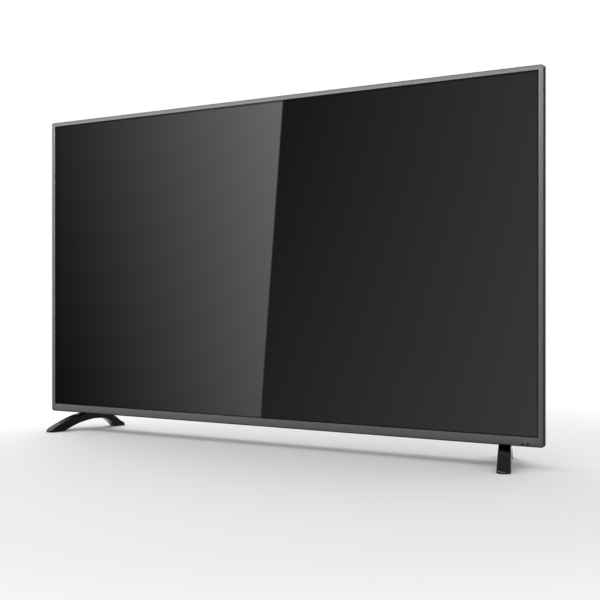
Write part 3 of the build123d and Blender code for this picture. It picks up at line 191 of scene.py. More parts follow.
class Net:
    """A material or a world under construction."""

    def __init__(self, name: str, world: bool = False) -> None:
        """Makes an empty material or world with its output node.

        Args:
            name: Name of the material or world.
            world: Whether it is a world.
        """
        self.owner = (bpy.data.worlds if world else bpy.data.materials).new(name)
        self.owner.use_nodes = True
        self.tree = self.owner.node_tree
        self.tree.nodes.clear()
        self.output = self.node("ShaderNodeOutputWorld" if world else "ShaderNodeOutputMaterial")
        self.place = self.node("ShaderNodeTexCoord").outputs["Object"]

    def node(self, kind: str, inputs: dict | None = None, **settings: str | bool) -> bpy.types.Node:
        """Adds a node.

        Args:
            kind: The node's type.
            inputs: Values or links of its sockets, by name or number.
            settings: Properties set before the sockets, such as a Math node's operation.

        Returns:
            The new node.
        """
        node = self.tree.nodes.new(kind)
        for name, setting in settings.items():
            setattr(node, name, setting)
        for key, item in (inputs or {}).items():
            source = item.source if isinstance(item, Value) else item
            if isinstance(source, bpy.types.NodeSocket):
                self.tree.links.new(source, node.inputs[key])
            else:
                node.inputs[key].default_value = source
        return node

    def axes(self) -> tuple[Value, Value, Value]:
        """X, Y and Z of the shaded point, in metres."""
        split = self.node("ShaderNodeSeparateXYZ", {0: self.place})
        return tuple(Value(self, output) for output in split.outputs)

    def stretched(self, scale: Point) -> bpy.types.NodeSocket:
        """Object coordinates times a scale along each axis."""
        return self.node("ShaderNodeMapping", {"Vector": self.place, "Scale": scale}).outputs[0]

    def noise(self, scale: Point, detail: float = 3.0, roughness: float = 0.55) -> Value:
        """Soft noise.

        Args:
            scale: Features in a metre along X, Y and Z.
            detail: Octaves of finer noise.
            roughness: Weight of the finer octaves.

        Returns:
            A value around one half.
        """
        inputs = {"Vector": self.stretched(scale), "Scale": 1.0, "Detail": detail, "Roughness": roughness}
        return Value(self, self.node("ShaderNodeTexNoise", inputs).outputs[0])

    def cells(self, scale: Point, **settings: str) -> Value:
        """Distance to the points of a cell pattern."""
        inputs = {"Vector": self.stretched(scale), "Scale": 1.0}
        return Value(self, self.node("ShaderNodeTexVoronoi", inputs, **settings).outputs["Distance"])

    def mix(self, mask: Value, first: Colour | Value, second: Colour | Value) -> Value:
        """Colour between two colours.

        Args:
            mask: 0 gives the first colour and 1 the second.
            first: Linear colour or colour socket.
            second: Linear colour or colour socket.

        Returns:
            The mixed colour.
        """
        filled = [(*item, 1.0) if isinstance(item, tuple) else item for item in (first, second)]
        inputs = {0: mask, 6: filled[0], 7: filled[1]}
        node = self.node("ShaderNodeMix", inputs, data_type="RGBA", clamp_factor=True)
        return Value(self, node.outputs[2])

    def bump(self, height: Value, distance: float) -> bpy.types.NodeSocket:
        """Normal of a relief whose full height is the distance in metres."""
        inputs = {"Height": height, "Distance": distance, "Strength": 1.0}
        return self.node("ShaderNodeBump", inputs).outputs["Normal"]

    def surface(self, inputs: dict) -> None:
        """Ends the material in one Principled shader with these sockets."""
        self.end(self.node("ShaderNodeBsdfPrincipled", inputs))

    def glow(self, strength: Value | float) -> bpy.types.Node:
        """White shader that gives light."""
        return self.node("ShaderNodeEmission", {"Color": WHITE, "Strength": strength})

    def blend(self, mask: Value, first: bpy.types.Node, second: bpy.types.Node) -> bpy.types.Node:
        """Shader between two shaders: the mask's 0 gives the first and its 1 the second."""
        return self.node("ShaderNodeMixShader", {0: mask, 1: first.outputs[0], 2: second.outputs[0]})

    def on_view(self) -> Value:
        """Marks the rays that show something, straight, mirrored or seen through it.

        Returns:
            1 on these rays and 0 on the rest.
        """
        rays = self.node("ShaderNodeLightPath").outputs
        straight, mirrored, through = [Value(self, rays[f"Is {kind} Ray"])
                                       for kind in ("Camera", "Glossy", "Transmission")]
        return straight.at_least(mirrored).at_least(through)

    def end(self, shader: bpy.types.Node) -> None:
        """Ends the tree in a shader."""
        self.tree.links.new(shader.outputs[0], self.output.inputs[0])


class Pattern(Enum):
    """How a finish varies over a surface."""

    GRAIN = "fine spark-eroded grain of a moulding"
    TEXTURED = "powder-coated sheet metal"
    BRUSHED = "rolled or drawn metal"
    TRACES = "copper lines under a board's mask"
    RIBS = "parallel conductors or windings"
    CLOUD = "smooth, with faint clouding"


@dataclass(frozen=True)
class Finish:
    """One finish of the television, for one material slot of the record."""

    slot: str
    pattern: Pattern
    base: Colour
    second: Colour
    scale: float
    smooth: float
    rough: float
    relief: float = 0.0
    metallic: float = 0.0
    coat: float = 0.0
    coat_roughness: float = 0.05
    specular: float = 0.5
    along: Point = (1.0, 1.0, 1.0)

    def fields(self, net: Net) -> tuple[Value, Value]:
        """Masks of the pattern.

        Args:
            net: The material.

        Returns:
            The mask of the second colour, and the relief, each from 0 to 1.
        """
        size = tuple(self.scale * share for share in self.along)
        slow = net.noise(tuple(value / 60 for value in size), 2.0)
        fine = net.noise(size, 3.0)
        if self.pattern is Pattern.GRAIN:
            pits = net.cells(tuple(value * 1.3 for value in size))
            return (slow * 0.6 + fine * 0.5).step(0.35, 0.85), fine * 0.5 + pits * 0.5
        if self.pattern is Pattern.TEXTURED:
            lumps = net.cells(size, feature="SMOOTH_F1")
            return (slow * 0.5 + lumps * 0.6).step(0.2, 0.9), 1 - lumps
        if self.pattern is Pattern.BRUSHED:
            streaks = net.noise(size, 5.0, 0.75)
            return streaks.step(0.3, 0.7), streaks
        if self.pattern is Pattern.TRACES:
            return self.traces(net)
        if self.pattern is Pattern.RIBS:
            x_axis, y_axis, z_axis = net.axes()
            run = x_axis * size[0] + y_axis * size[1] + z_axis * size[2]
            ribs = (run * math.tau).sine().spread(0.5, 1.0)
            return ribs.step(0.1, 0.9), ribs
        return (slow * 0.8 + fine * 0.2).step(0.3, 0.7), fine

    def traces(self, net: Net) -> tuple[Value, Value]:
        """Copper lines, pads and bare areas of a circuit board.

        Args:
            net: The material.

        Returns:
            The mask of the second colour, which is the relief too.
        """
        size = (self.scale, self.scale, self.scale)
        lines = (net.cells(size, distance="CHEBYCHEV") * math.tau * 3).sine().step(0.2, 0.5)
        pads = net.cells(tuple(value * 2.2 for value in size)).step(0.22, 0.12)
        mask = (lines * 0.55 + pads).at_most(1.0)
        return mask, mask

    def material(self) -> bpy.types.Material:
        """Builds the finish.

        Returns:
            A material named after its slot.
        """
        net = Net(self.slot)
        mask, relief = self.fields(net)
        inputs = {
            "Base Color": net.mix(mask, self.base, self.second),
            "Roughness": mask.spread(self.smooth, self.rough),
            "Metallic": self.metallic,
            "Specular IOR Level": self.specular,
            "Coat Weight": self.coat,
            "Coat Roughness": self.coat_roughness,
        }
        if self.relief > 0:
            inputs["Normal"] = net.bump(relief, self.relief)
        net.surface(inputs)
        return net.owner


@dataclass(frozen=True)
class BezelPaint:
    """Metallic grey paint on the bezel's front, which stops at its rounded black edge, with painted shade:
    the paint darkens towards the outer edge, and the black edge band is widened, most at the bottom.
    """

    slot: str = "graphite_paint"
    light: float = 0.36
    dark: float = 0.31
    # Painted shade: the grey the paint darkens to at the bezel's outer edge, standing in for light falling
    # off across a rounded front.
    outer_painted_shade: float = 0.235
    plastic: float = 0.03
    bezel_width: float = 0.0115
    flake: float = 5200.0
    flake_relief: float = 0.000006
    metallic: float = 0.5
    smooth: float = 0.36
    rough: float = 0.46
    specular: float = 0.05
    # Widths of the bare black edge: partly the real black rounding, partly painted shade, because the bands
    # are widened, most at the bottom, to darken the shaded rounded edge.
    side_edge_and_painted_shade: float = 0.0008
    top_edge_and_painted_shade: float = 0.0012
    low_edge_and_painted_shade: float = 0.002
    blend: float = 0.0002
    paint_depth: float = 0.0008

    def material(self) -> bpy.types.Material:
        """Builds the paint, with its painted shade.

        Returns:
            The bezel's material.
        """
        net = Net(self.slot)
        x_axis, y_axis, z_axis = net.axes()
        low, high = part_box("front_bezel")
        beyond = abs(x_axis) - (high[0] - self.side_edge_and_painted_shade)
        beyond = beyond.at_least(z_axis - (high[2] - self.top_edge_and_painted_shade))
        beyond = beyond.at_least((low[2] + self.low_edge_and_painted_shade) - z_axis)
        behind = (y_axis - (low[1] + self.paint_depth)).step(-self.blend, self.blend)
        # Bare black plastic: the real unpainted inner wall and edge, plus painted shade where the edge bands
        # are widened.
        bare_edge_and_painted_shade = beyond.step(-self.blend, self.blend).at_least(behind)
        flakes = net.cells((self.flake, self.flake, self.flake)).step(0.15, 0.8)
        cloud = net.noise((14.0, 14.0, 14.0), 3.0)
        # Painted shade: a ramp from the outer edge (dark) to the inner lip (full paint) across the bezel's
        # width.
        painted_shade_ramp = (beyond * -1.0).step(-self.bezel_width, self.bezel_width)
        paint = net.mix((flakes * 0.6 + cloud * 0.5).step(0.1, 1.0), grey(self.dark), grey(self.light))
        paint = net.mix(painted_shade_ramp, grey(self.outer_painted_shade), paint)
        net.surface({
            "Base Color": net.mix(bare_edge_and_painted_shade, paint, grey(self.plastic)),
            "Metallic": (1 - bare_edge_and_painted_shade) * self.metallic,
            "Roughness": flakes.spread(self.smooth, self.rough),
            "Specular IOR Level": self.specular,
            "Normal": net.bump(flakes, self.flake_relief),
        })
        return net.owner


@dataclass(frozen=True)
class ScreenFinish:
    """Hard-coated front film of the picture, with the unlit band round it."""

    slot: str = "screen_film"
    half_width: float = 0.6048
    low: float = 0.0630
    high: float = 0.7434
    edge: float = 0.0003
    body_level: float = 0.055
    border_level: float = 0.075
    body_rough: float = 0.42
    border_rough: float = 0.6
    coat: float = 0.5
    border_coat: float = 0.2
    coat_roughness: float = 0.015

    def material(self) -> bpy.types.Material:
        """Builds the film: all its gloss is in the coat, which is weaker on the band.

        Returns:
            The film's material.
        """
        net = Net(self.slot)
        x_axis, _, z_axis = net.axes()
        inside = (self.half_width - abs(x_axis)).step(-self.edge, self.edge)
        inside = inside * (z_axis - self.low).step(-self.edge, self.edge)
        inside = inside * (self.high - z_axis).step(-self.edge, self.edge)
        cloud = net.noise((3.0, 3.0, 3.0), 2.0)
        body = net.mix(cloud.step(0.3, 0.7), grey(self.body_level), grey(self.body_level * 1.12))
        net.surface({
            "Base Color": net.mix(inside, grey(self.border_level), body),
            "Roughness": inside.spread(self.border_rough, self.body_rough),
            "Specular IOR Level": 0.0,
            "Coat Weight": inside.spread(self.border_coat, self.coat),
            "Coat Roughness": self.coat_roughness,
        })
        return net.owner


@dataclass(frozen=True)
class GlassFinish:
    """Thin dark glass of the display cell."""

    slot: str = "panel_glass"
    level: float = 0.10
    waviness: float = 0.00002

    def material(self) -> bpy.types.Material:
        """Builds the glass, which is backed all over and so shows nothing through it.

        Returns:
            The glass layers' material.
        """
        net = Net(self.slot)
        ripple = net.noise((9.0, 9.0, 9.0), 2.0)
        net.surface({
            "Base Color": net.mix(ripple, grey(self.level), grey(self.level * 1.3, -0.08)),
            "Roughness": ripple.spread(0.04, 0.09),
            "Normal": net.bump(ripple, self.waviness),
        })
        return net.owner


def finishes() -> list[Finish | BezelPaint | ScreenFinish | GlassFinish]:
    """Every finish of the television, one for each slot of the record.

    Returns:
        The finishes, each named after its slot.
    """
    plain, fine, sheet = Pattern.CLOUD, Pattern.GRAIN, Pattern.TEXTURED
    brushed, traces, ribs = Pattern.BRUSHED, Pattern.TRACES, Pattern.RIBS
    return [
        BezelPaint(),
        Finish("black_plastic", fine, grey(0.05), grey(0.07), 2200.0, 0.5, 0.66, 0.00002, specular=0.08),
        Finish("frame_plastic", fine, grey(0.17), grey(0.22), 1500.0, 0.5, 0.66, 0.00002),
        Finish("black_steel", sheet, grey(0.17), grey(0.215), 1300.0, 0.44, 0.6, 0.00004, 0.15),
        Finish("aluminium", brushed, grey(0.82), grey(0.9), 900.0, 0.28, 0.42, 0.00001, 1.0,
               along=(0.03, 1.0, 1.0)),
        Finish("board_white", traces, grey(0.86), grey(0.95), 120.0, 0.35, 0.5),
        Finish("led_package", plain, (0.82, 0.72, 0.28), (0.9, 0.83, 0.42), 400.0, 0.25, 0.4),
        Finish("board_green", traces, (0.010, 0.085, 0.035), (0.025, 0.16, 0.07), 160.0, 0.3, 0.45, 0.00002),
        Finish("board_tan", traces, (0.36, 0.23, 0.09), (0.46, 0.31, 0.14), 90.0, 0.4, 0.55, 0.00002),
        Finish("film_amber", ribs, (0.36, 0.14, 0.02), (0.55, 0.27, 0.06), 700.0, 0.25, 0.35,
               along=(1.0, 0.0, 0.0)),
        Finish("cover_plastic", fine, grey(0.165), grey(0.205), 1100.0, 0.46, 0.62, 0.00006, specular=0.4),
        Finish("screw_steel", brushed, grey(0.3), grey(0.4), 2500.0, 0.3, 0.42, 0.00001, 0.9),
        Finish("post_steel", brushed, grey(0.66), grey(0.78), 2500.0, 0.25, 0.4, 0.00001, 1.0),
        Finish("bracket_steel", brushed, grey(0.68, -0.01), grey(0.78), 1500.0, 0.3, 0.45, 0.00001, 1.0),
        Finish("foot_gloss", plain, grey(0.03), grey(0.045), 300.0, 0.1, 0.14, specular=0.16),
        Finish("pad_rubber", fine, grey(0.12), grey(0.16), 1600.0, 0.75, 0.9, 0.00005, specular=0.2),
        Finish("nylon_white", plain, grey(0.86, 0.02), grey(0.92, 0.02), 900.0, 0.35, 0.5),
        Finish("chip_black", fine, grey(0.12), grey(0.17), 3000.0, 0.45, 0.6, 0.00001),
        Finish("tin_plate", brushed, grey(0.74), grey(0.84), 600.0, 0.25, 0.4, 0.00001, 1.0),
        Finish("nickel", brushed, grey(0.74, 0.01), grey(0.82, 0.01), 1800.0, 0.2, 0.34, 0.00001, 1.0),
        Finish("socket_black", fine, grey(0.1), grey(0.14), 2600.0, 0.35, 0.5, 0.00001),
        Finish("transformer_tape", ribs, (0.52, 0.4, 0.03), (0.66, 0.52, 0.06), 420.0, 0.3, 0.42,
               0.0001, along=(0.0, 0.0, 1.0)),
        Finish("capacitor_sleeve", plain, grey(0.1), (0.02, 0.02, 0.05), 260.0, 0.2, 0.3, coat=0.4),
        Finish("cone_paper", sheet, grey(0.14), grey(0.2), 900.0, 0.7, 0.85, 0.00006),
        Finish("dark_lens", plain, grey(0.03), grey(0.045), 300.0, 0.12, 0.16, specular=0.25),
        Finish("key_plastic", fine, grey(0.15), grey(0.19), 2200.0, 0.36, 0.5, 0.00002),
        Finish("ribbon_white", ribs, grey(0.8), grey(0.95), 1000.0, 0.35, 0.5, 0.00005,
               along=(0.0, 0.0, 1.0)),
        Finish("lead_rubber", plain, grey(0.12), grey(0.16), 700.0, 0.45, 0.6),
        ScreenFinish(),
        GlassFinish(),
        Finish("optical_sheet", plain, grey(0.9), grey(0.96), 200.0, 0.3, 0.45),
        Finish("light_guide", plain, grey(0.9, -0.03), grey(0.97, -0.02), 200.0, 0.08, 0.14),
        Finish("reflector_white", plain, grey(0.93), grey(0.98), 200.0, 0.6, 0.75),
    ]


class Wardrobe:
    """The finishes by slot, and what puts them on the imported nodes."""

    def __init__(self) -> None:
        """Builds each finish once."""
        self.materials = {finish.slot: finish.material() for finish in finishes()}

    def dress_nodes(self) -> None:
        """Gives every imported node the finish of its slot."""
        for row in frame["record"]["subparts"]:
            node = frame["nodes"][row["node"]]
            for holder in node.material_slots:
                holder.material = self.materials[row["material_slot"]]
            LOG.info("node %s wears %s", row["node"], row["material_slot"])

    def dress(self, piece: bpy.types.Object, slot: str, body: str = TELEVISION) -> None:
        """Gives a new piece its finish, slot and body.

        Args:
            piece: The new piece.
            slot: The record's material slot.
            body: The body that carries it.
        """
        piece.data.materials.append(self.materials[slot])
        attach(piece, body)
        LOG.info("piece %s rides on %s", piece.name, body)


# Mesh building

class Builder:
    """One new mesh made with mesh operators, in metres and in the shared frame."""

    def __init__(self) -> None:
        """Starts with an empty mesh."""
        self.mesh = bmesh.new()

    def bar(self, low: Point, high: Point, bevel: float = 0.0, segments: int = 2) -> None:
        """Adds a rectangular bar with eased edges.

        Args:
            low: Lowest corner.
            high: Highest corner.
            bevel: Radius of its edges.
            segments: Faces across each rounded edge.
        """
        sizes = [top - bottom for bottom, top in zip(low, high)]
        middle = [(top + bottom) / 2 for bottom, top in zip(low, high)]
        place = Matrix.Translation(middle) @ Matrix.Diagonal((*sizes, 1.0))
        made = bmesh.ops.create_cube(self.mesh, size=1.0, matrix=place)
        if bevel > 0:
            self.ease(list({edge for vert in made["verts"] for edge in vert.link_edges}), bevel, segments)

    def ease(self, edges: list[bmesh.types.BMEdge], bevel: float, segments: int) -> None:
        """Rounds some edges."""
        bmesh.ops.bevel(self.mesh, geom=edges, offset=bevel, segments=segments, affect="EDGES",
                        profile=0.5, material=-1)

    def blade(self, start: Point, end: Point, width: float, thickness: float) -> None:
        """Adds a flat wire between two points.

        Args:
            start: Middle of its first end.
            end: Middle of its last end.
            width: Its width along X.
            thickness: Its other size.
        """
        line = Vector(end) - Vector(start)
        turn = Vector(UP).rotation_difference(line).to_matrix().to_4x4()
        place = Matrix.Translation((Vector(start) + Vector(end)) / 2) @ turn
        bmesh.ops.create_cube(self.mesh, size=1.0,
                              matrix=place @ Matrix.Diagonal((width, thickness, line.length, 1.0)))

    def turned(self, outline: Sequence[Pair], start: Point, axis: Point, steps: int,
               closed: bool = False) -> None:
        """Spins an outline round an axis.

        Args:
            outline: Radius and distance along the axis of each point, first to last.
            start: Where the axis starts.
            axis: Its direction.
            steps: Faces round the shape.
            closed: Whether the last point joins the first, as on a ring.
        """
        turn = Vector(UP).rotation_difference(Vector(axis)).to_matrix()
        verts = [self.mesh.verts.new(Vector(start) + turn @ Vector((radius, 0, along)))
                 for radius, along in outline]
        pairs = list(zip(verts, verts[1:])) + ([(verts[-1], verts[0])] if closed else [])
        edges = [self.mesh.edges.new(pair) for pair in pairs]
        bmesh.ops.spin(self.mesh, geom=verts + edges, cent=start, axis=axis, angle=math.tau, steps=steps,
                       use_merge=True)

    def frame_bead(self, inner: list[Pair], outer: list[Pair], depth: float, proud: float) -> None:
        """Adds a raised bead between two outlines on a wall that faces the rear.

        Args:
            inner: X and Z of the inner outline's corners, in order.
            outer: The same for the outer outline.
            depth: Y of the wall.
            proud: How far the bead stands out.
        """
        near, far = [[self.mesh.verts.new((x, depth, z)) for x, z in outline] for outline in (inner, outer)]
        sides = zip(near, near[1:] + near[:1], far[1:] + far[:1], far)
        ring = [self.mesh.faces.new(corners) for corners in sides]
        grown = bmesh.ops.extrude_face_region(self.mesh, geom=ring)["geom"]
        top = {item for item in grown if isinstance(item, bmesh.types.BMVert)}
        bmesh.ops.translate(self.mesh, vec=(0.0, proud, 0.0), verts=list(top))
        edges = {edge for vert in top for edge in vert.link_edges if top.issuperset(edge.verts)}
        self.ease([edge for edge in edges if edge.calc_face_angle(0.0) > SMOOTH_ANGLE], proud / 2, 2)

    def copies(self, pattern: bpy.types.Mesh, places: list[Matrix]) -> None:
        """Adds a mesh once at each place.

        Args:
            pattern: The mesh.
            places: Where each copy goes.
        """
        for place in places:
            count = len(self.mesh.verts)
            self.mesh.from_mesh(pattern)
            self.mesh.verts.ensure_lookup_table()
            bmesh.ops.transform(self.mesh, matrix=place, verts=self.mesh.verts[count:])

    def close(self, name: str) -> bpy.types.Mesh:
        """Turns the faces outwards and gives the mesh.

        Args:
            name: Name of the mesh.

        Returns:
            The finished mesh.
        """
        bmesh.ops.remove_doubles(self.mesh, verts=self.mesh.verts, dist=MERGE_DISTANCE)
        bmesh.ops.recalc_face_normals(self.mesh, faces=self.mesh.faces)
        for face in self.mesh.faces:
            face.smooth = True
        data = bpy.data.meshes.new(name)
        self.mesh.to_mesh(data)
        self.mesh.free()
        data.set_sharp_from_angle(angle=SMOOTH_ANGLE)
        return data

    def finish(self, name: str) -> bpy.types.Object:
        """Closes the mesh.

        Args:
            name: Name of the piece.

        Returns:
            The piece, linked to the scene.
        """
        piece = bpy.data.objects.new(name, self.close(name))
        bpy.context.scene.collection.objects.link(piece)
        return piece


@dataclass(frozen=True)
class CrossScrew:
    """Screw with a pan head and a cross recess, its seat at the origin and its head upwards."""

    shank: float
    length: float
    head: float
    tall: float
    pitch: float = 0.0007
    tip_share: float = 0.6
    root_share: float = 0.84
    head_shares: tuple[Pair, ...] = ((1.0, 0.0), (1.0, 0.45), (0.94, 0.78), (0.82, 0.94), (0.68, 1.0))
    arm_share: float = 0.52
    slot_share: float = 0.11
    recess_share: float = 0.55
    taper_share: float = 0.6
    steps: int = 28

    def mesh(self, name: str) -> bpy.types.Mesh:
        """Builds the screw.

        Args:
            name: Name of the mesh.

        Returns:
            The screw's mesh.
        """
        builder = Builder()
        head = [(self.head * wide, self.tall * high) for wide, high in self.head_shares]
        builder.turned(self.thread() + [(self.shank, 0.0)] + head, ORIGIN, UP, self.steps)
        bmesh.ops.remove_doubles(builder.mesh, verts=builder.mesh.verts, dist=MERGE_DISTANCE)
        rim = [edge for edge in builder.mesh.edges if edge.is_boundary
               and all(vert.co.z > self.tall * 0.99 for vert in edge.verts)]
        cross = self.cross(builder.mesh)
        bmesh.ops.triangle_fill(builder.mesh, edges=rim + cross, use_beauty=True, normal=UP)
        sunk = bmesh.ops.extrude_edge_only(builder.mesh, edges=cross)["geom"]
        floor = [item for item in sunk if isinstance(item, bmesh.types.BMVert)]
        for vert in floor:
            vert.co.xy *= self.taper_share
            vert.co.z -= self.tall * self.recess_share
        bottom = [item for item in sunk if isinstance(item, bmesh.types.BMEdge)
                  and all(vert in floor for vert in item.verts)]
        bmesh.ops.edgeloop_fill(builder.mesh, edges=bottom)
        return builder.close(name)

    def thread(self) -> list[Pair]:
        """Outline of the point and the threaded shank, up to the head.

        Returns:
            Radius and height of each point.
        """
        turns = int(self.length / self.pitch)
        crests = [(0.0, -self.length), (self.shank * self.tip_share, -self.length)]
        for index in range(turns):
            low = -self.length + index * self.pitch
            crests.append((self.shank * self.root_share, low + self.pitch * 0.25))
            crests.append((self.shank, low + self.pitch * 0.75))
        return crests

    def cross(self, mesh: bmesh.types.BMesh) -> list[bmesh.types.BMEdge]:
        """Edges of the cross on top of the head.

        Args:
            mesh: The screw's mesh.

        Returns:
            The edges, in a closed ring.
        """
        arm, half = self.head * self.arm_share, self.head * self.slot_share
        quarter = [(arm, -half), (arm, half), (half, half)]
        corners = [(x * cosine - y * sine, x * sine + y * cosine)
                   for cosine, sine in ((1, 0), (0, 1), (-1, 0), (0, -1)) for x, y in quarter]
        verts = [mesh.verts.new((x, y, self.tall)) for x, y in corners]
        return [mesh.edges.new(pair) for pair in zip(verts, verts[1:] + verts[:1])]


# Sub-assemblies

@dataclass
class Fasteners:
    """Screws of the rear cover, the feet and the back plate's edge."""

    cover_screw: CrossScrew = CrossScrew(shank=0.0015, length=0.0074, head=0.0034, tall=0.0022)
    foot_screw: CrossScrew = CrossScrew(shank=0.002, length=0.016, head=0.0038, tall=0.0025)
    edge_screw: CrossScrew = CrossScrew(shank=0.001, length=0.002, head=0.0024, tall=0.0009)
    edge_inset: float = 0.006
    edge_columns: int = 9
    edge_rows: int = 4

    def build(self, wardrobe: Wardrobe) -> None:
        """Makes every screw and gives it its finish.

        Args:
            wardrobe: The finishes.
        """
        rearward = Matrix.Rotation(-math.pi / 2, 4, "X")
        downward = Matrix.Rotation(math.pi, 4, "X")
        cover = self.group("cover_screws", rearward, self.cover_screw)
        foot = self.group("foot_screws", downward, self.foot_screw)
        for piece, node in ((cover, "cover_screws"), (foot, "foot_screws")):
            wardrobe.dress(piece, "screw_steel")
            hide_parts(node)
        edge = Builder()
        places = [place @ rearward for place in self.edges()]
        edge.copies(self.edge_screw.mesh("edge_screw"), places)
        wardrobe.dress(edge.finish("edge_screw_heads"), "screw_steel")

    def group(self, node: str, turn: Matrix, screw: CrossScrew) -> bpy.types.Object:
        """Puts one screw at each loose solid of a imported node.

        Args:
            node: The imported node.
            turn: Rotation that points the head the right way.
            screw: The screw's shape.

        Returns:
            The new piece.
        """
        builder = Builder()
        seats = [Matrix.Translation(seat) for seat in screw_seats(node, turn, screw.tall)]
        builder.copies(screw.mesh(node + "_shape"), [seat @ turn for seat in seats])
        return builder.finish(node + "_detailed")

    def edges(self) -> list[Matrix]:
        """Places of the small screws along the flange round the back.

        Returns:
            One place for each screw.
        """
        low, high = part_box("side_frame")
        left, right = low[0] + self.edge_inset, high[0] - self.edge_inset
        top = high[2] - self.edge_inset
        places = [(left + (right - left) * (index + 0.5) / self.edge_columns, top)
                  for index in range(self.edge_columns)]
        tall = high[2] - low[2]
        for index in range(self.edge_rows):
            z = low[2] + tall * (index + 0.75) / (self.edge_rows + 0.5)
            places += [(left, z), (right, z)]
        return [Matrix.Translation((x, high[1], z)) for x, z in places]


def loose_parts(node: str) -> list[tuple[Vector, Vector]]:
    """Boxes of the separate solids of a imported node.

    Args:
        node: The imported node.

    Returns:
        Lowest and highest corner of each.
    """
    mesh = bmesh.new()
    mesh.from_mesh(frame["nodes"][node].data)
    bmesh.ops.remove_doubles(mesh, verts=mesh.verts, dist=NODE_MERGE_DISTANCE)
    left, parts = set(mesh.verts), []
    while left:
        reached, front = set(), [left.pop()]
        while front:
            vert = front.pop()
            reached.add(vert)
            for edge in vert.link_edges:
                other = edge.other_vert(vert)
                if other in left:
                    left.discard(other)
                    front.append(other)
        places = [vert.co for vert in reached]
        parts.append((Vector([min(place[axis] for place in places) for axis in range(3)]),
                      Vector([max(place[axis] for place in places) for axis in range(3)])))
    mesh.free()
    return parts


def screw_seats(node: str, turn: Matrix, tall: float) -> list[Vector]:
    """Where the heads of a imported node's screws sit.

    Args:
        node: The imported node.
        turn: Rotation that points a head the right way.
        tall: Height of the head.

    Returns:
        The middle of each seat.
    """
    outward = turn @ Vector(UP)
    seats = []
    for low, high in loose_parts(node):
        middle, half = (low + high) / 2, (high - low) / 2
        reach = abs(outward.dot(half))
        seats.append(middle + outward * (reach - tall))
    return seats


@dataclass(frozen=True)
class Tongue:
    """Tongue inside a socket, with a row of contacts on both its faces."""

    wide: float
    thick: float
    start: float
    end: float
    count: int
    pitch: float
    contact_wide: float
    contact_proud: float = 0.00008

    def add(self, tongues: Builder, contacts: Builder, place: Matrix) -> None:
        """Adds one.

        Args:
            tongues: Mesh of the tongues.
            contacts: Mesh of the contacts.
            place: The socket's place, its mouth at the origin and its length upwards.
        """
        shape, half = Builder(), self.thick / 2
        shape.bar((-self.wide / 2, -half, self.start), (self.wide / 2, half, self.end), self.thick / 5)
        tongues.copies(shape.close("tongue"), [place])
        strips, outer = Builder(), half + self.contact_proud
        low, wing = self.start + self.thick * 0.7, self.contact_wide / 2
        for index in range(self.count):
            x = (index - (self.count - 1) / 2) * self.pitch
            strips.bar((x - wing, -outer, low), (x + wing, outer, self.end), self.contact_proud / 2, 1)
        contacts.copies(strips.close("strips"), [place])


@dataclass
class SocketDetail:
    """Tongues, contacts and rims inside the sockets of the main board."""

    step_bottom: float = 0.1705
    wall_x: float = 0.425
    hdmi: Tongue = Tongue(0.0111, 0.0013, 0.0009, 0.0111, 10, 0.0010, 0.00045)
    hdmi_y: float = -0.0103
    hdmi_down_x: float = 0.285
    hdmi_heights: Pair = (0.1945, 0.2205)
    usb: Tongue = Tongue(0.0112, 0.0020, 0.0018, 0.0151, 4, 0.0023, 0.0012)
    usb_y: float = -0.0098
    usb_heights: Pair = (0.2505, 0.2765)
    network_x: float = 0.250
    network_y: float = -0.0067
    network_half: float = 0.0042
    wires: int = 8
    wire_pitch: float = 0.00102
    wire_path: tuple[Pair, ...] = ((0.0004, 0.0025), (0.0031, 0.0125), (0.0026, 0.0164))
    wire_size: Pair = (0.00042, 0.00025)
    jack_y: float = -0.0079
    jack_z: float = 0.3045
    jack_outline: tuple[Pair, ...] = ((0.00172, -0.004), (0.00172, 0.0003), (0.0019, 0.00045),
                                      (0.0028, 0.00045), (0.0031, 0.0002), (0.0031, 0.0), (0.00179, 0.0),
                                      (0.00179, -0.004))

    def build(self, wardrobe: Wardrobe) -> None:
        """Makes the pieces and gives them their finishes.

        Args:
            wardrobe: The finishes.
        """
        tongues, contacts = Builder(), Builder()
        down = Matrix.Translation((self.hdmi_down_x, self.hdmi_y, self.step_bottom))
        for place in [down] + [self.sideways(self.hdmi_y, z) for z in self.hdmi_heights]:
            self.hdmi.add(tongues, contacts, place)
        for z in self.usb_heights:
            self.usb.add(tongues, contacts, self.sideways(self.usb_y, z))
        wardrobe.dress(tongues.finish("socket_tongues"), "socket_black")
        wardrobe.dress(contacts.finish("socket_contacts"), "nickel")
        wardrobe.dress(self.network_wires(), "nickel")
        wardrobe.dress(self.jack_ring(), "nickel")

    def sideways(self, depth: float, height: float) -> Matrix:
        """Place of a socket in the side wall, its mouth towards the right."""
        return Matrix.Translation((self.wall_x, depth, height)) @ Matrix.Rotation(-math.pi / 2, 4, "Y")

    def network_wires(self) -> bpy.types.Object:
        """Sprung wires that slope into the network socket.

        Returns:
            The new piece.
        """
        builder = Builder()
        front = self.network_y - self.network_half
        for index in range(self.wires):
            x = self.network_x + (index - (self.wires - 1) / 2) * self.wire_pitch
            points = [(x, front + y, self.step_bottom + z) for y, z in self.wire_path]
            for start, end in zip(points, points[1:]):
                builder.blade(start, end, *self.wire_size)
        return builder.finish("network_wires")

    def jack_ring(self) -> bpy.types.Object:
        """Bright ring at the mouth of the headphone socket, with its lining.

        Returns:
            The new piece.
        """
        builder = Builder()
        mouth = (self.wall_x, self.jack_y, self.jack_z)
        builder.turned(self.jack_outline, mouth, RIGHT, 40, True)
        return builder.finish("jack_ring")


